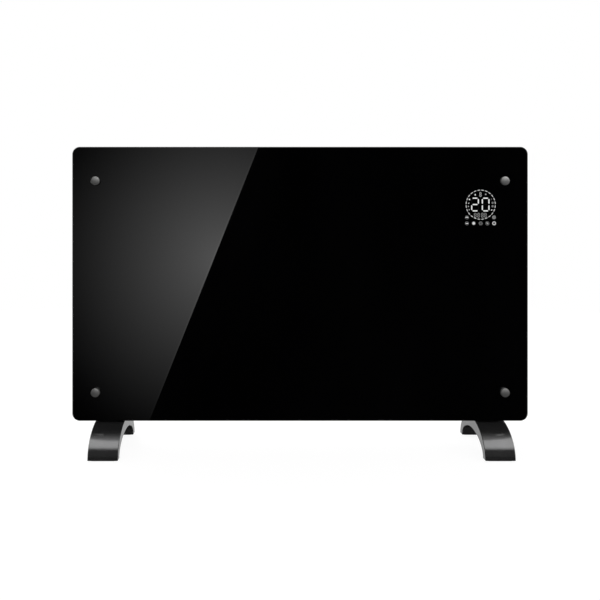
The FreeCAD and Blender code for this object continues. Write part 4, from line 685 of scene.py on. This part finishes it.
studioLook = {"ambient": 0.55, "front": 0.025, "behind": (-0.05, 0.15), "overhead": (0.81, 0.95),
              "lean": 0.06, "under": (-0.7, -0.35)}


def makeWorld():
    look = studioLook
    world = bpy.data.worlds.new("studio")
    bpy.context.scene.world = world
    world.use_nodes = True
    tree = world.node_tree
    path = addNode(tree, "ShaderNodeLightPath").outputs
    way = addNode(tree, "ShaderNodeTexCoord").outputs["Generated"]
    axes = addNode(tree, "ShaderNodeSeparateXYZ", {"Vector": way}).outputs
    leaning = addMath(tree, "MULTIPLY_ADD", axes["X"], look["lean"], axes["Z"])
    behind = between(tree, axes["Y"], look["front"], 1.0, look["behind"], "SMOOTHSTEP")
    overhead = between(tree, leaning, look["front"], 1.0, look["overhead"], "SMOOTHSTEP")
    under = between(tree, axes["Z"], look["front"], 1.0, look["under"], "SMOOTHSTEP")
    mirrored = addMath(tree, "MINIMUM", addMath(tree, "MAXIMUM", behind, overhead), under)
    sockets = {"Factor": path["Is Glossy Ray"], "A": look["ambient"], "B": mirrored}
    light = addNode(tree, "ShaderNodeMix", sockets).outputs["Result"]
    direct = addMath(tree, "MAXIMUM", path["Is Camera Ray"], path["Is Transmission Ray"])
    level = addNode(tree, "ShaderNodeMix", {"Factor": direct, "A": light, "B": 1.0}).outputs["Result"]
    background = tree.nodes["Background"]
    background.inputs["Color"].default_value = (1, 1, 1, 1)
    tree.links.new(level, background.inputs["Strength"])


# Floor: white to the camera, with the heater's shadow on it, and pale paint to all other light

floorLook = {"radius": 2.5, "sides": 96, "drop": 0.3 * mm, "glow": 0.93, "catch": 0.16, "paint": 0.8}


def matte(tree, shade):
    return addNode(tree, "ShaderNodeBsdfDiffuse", {"Color": (shade, shade, shade, 1)}).outputs["BSDF"]


def floorFinish(look):
    finish, tree, shader = newFinish("floor")
    tree.nodes.remove(shader)
    path = addNode(tree, "ShaderNodeLightPath").outputs
    glow = addNode(tree, "ShaderNodeEmission", {"Strength": look["glow"]}).outputs["Emission"]
    seen = addNode(tree, "ShaderNodeAddShader", {0: glow, 1: matte(tree, look["catch"])}).outputs["Shader"]
    paint = matte(tree, look["paint"])
    either = addNode(tree, "ShaderNodeMixShader", {"Fac": path["Is Camera Ray"], 1: paint, 2: seen})
    tree.links.new(either.outputs["Shader"], tree.nodes["Material Output"].inputs["Surface"])
    return finish


def makeFloor():
    mesh = bmesh.new()
    bmesh.ops.create_circle(mesh, cap_ends=True, segments=floorLook["sides"], radius=floorLook["radius"])
    floor = addObject("floor", meshData("floor", mesh))
    floor.data.materials.append(floorFinish(floorLook))
    floor.location.z = -floorLook["drop"]
    floor.visible_glossy = False


# Card behind the camera that the glass mirrors: black, with a soft light cut off along a slanted line

cardLook = {"y": -2.6, "margin": 0.012, "falloff": 2.0, "peak": 2.1, "rimGain": 1.3,
            # as they show on the glass, with points as (x, z)
            "centre": (-0.1256, 0.3184), "reach": 0.368, "rim": 3.2 * mm,
            "lineTop": (-0.0712, 0.503), "lineBottom": (-0.2409, 0.0766)}


def shineOnly(source, name, target):
    # Light linking: the target alone is lit by the source, or mirrors it
    shown = bpy.data.collections.new(name)
    shown.objects.link(target)
    source.light_linking.receiver_collection = shown


def glareFinish(look, axis):
    finish, tree, shader = newFinish("glare_card")
    tree.nodes.remove(shader)
    place = addNode(tree, "ShaderNodeTexCoord").outputs["Object"]
    core = Vector(look["centre"]) - axis
    far = addNode(tree, "ShaderNodeVectorMath", {0: place, 1: (core.x, 0, core.y)}, operation="DISTANCE")
    fade = between(tree, far.outputs["Value"], 1, 0, (0, look["reach"]))
    light = addMath(tree, "POWER", fade, look["falloff"])

    top, bottom = Vector(look["lineTop"]) - axis, Vector(look["lineBottom"]) - axis
    along = (top - bottom).normalized()
    leftward = (-along.y, 0, along.x)
    start = top.x * leftward[0] + top.y * leftward[2]
    depth = addNode(tree, "ShaderNodeVectorMath", {0: place, 1: leftward}, operation="DOT_PRODUCT")
    inside = addMath(tree, "GREATER_THAN", depth.outputs["Value"], start)
    rim = between(tree, depth.outputs["Value"], look["rimGain"], 1, (start, start + look["rim"]))
    for gain in (inside, rim, look["peak"]):
        light = addMath(tree, "MULTIPLY", light, gain)
    glow = addNode(tree, "ShaderNodeEmission", {"Strength": light})
    tree.links.new(glow.outputs["Emission"], tree.nodes["Material Output"].inputs["Surface"])
    return finish


def makeGlareCard():
    look = cardLook
    eye = Vector(cameraLook["place"])
    low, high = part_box("glass_panel")
    left, right = low.x - look["margin"] - eye.x, high.x + look["margin"] - eye.x
    bottom, top = low.z - look["margin"] - eye.z, high.z + look["margin"] - eye.z
    mesh = bmesh.new()
    mesh.faces.new([mesh.verts.new((x, 0, z))
                    for x, z in ((left, bottom), (right, bottom), (right, top), (left, top))])
    card = addObject("glare_card", meshData("glare_card", mesh))
    card.data.materials.append(glareFinish(look, Vector((eye.x, eye.z))))
    card.location = (eye.x, look["y"], eye.z)
    grow = 1 + (low.y - look["y"]) / (low.y - eye.y)  # as the mirrored view widens on its way to the card
    card.scale = (grow, 1, grow)
    for ray in ("camera", "diffuse", "shadow", "transmission", "volume_scatter"):
        setattr(card, "visible_" + ray, False)
    shineOnly(card, "mirrors", nodes["glass_panel"])


# Lamps, all turned to the middle of the heater

lampAim = (0, 0, 0.25)
lampLooks = {
    "key": {"place": (3.0, -2.4, 2.2), "size": (1.0, 1.0), "power": 14.0, "only": None},
    "fill": {"place": (-1.1, 1.3, 1.5), "size": (1.2, 1.2), "power": 16.0, "only": None},
    "strip": {"place": (1.6, -5.0, 5.3), "size": (6.4, 2.0), "power": 160.0, "only": "domed_caps"},
    "leftBox": {"place": (-1.9, -1.7, 0.1), "size": (1.6, 2.4), "power": 5.0, "only": "glass_panel"},
    "rightBox": {"place": (1.9, -1.7, 0.1), "size": (1.6, 2.4), "power": 5.0, "only": "glass_panel"},
}


def makeLamps():
    for name, look in lampLooks.items():
        lamp = addObject(name, bpy.data.lights.new(name, "AREA"))
        lamp.location = look["place"]
        lamp.rotation_euler = (Vector(lampAim) - lamp.location).to_track_quat("-Z", "Y").to_euler()
        lamp.data.shape = "RECTANGLE"
        lamp.data.size, lamp.data.size_y = look["size"]
        lamp.data.energy = look["power"]
        if look["only"]:
            shineOnly(lamp, name, bpy.data.objects[look["only"]])


makeWorld()
makeFloor()
makeGlareCard()
makeLamps()
bpy.context.scene.view_settings.view_transform = "Standard"
print("studio set")
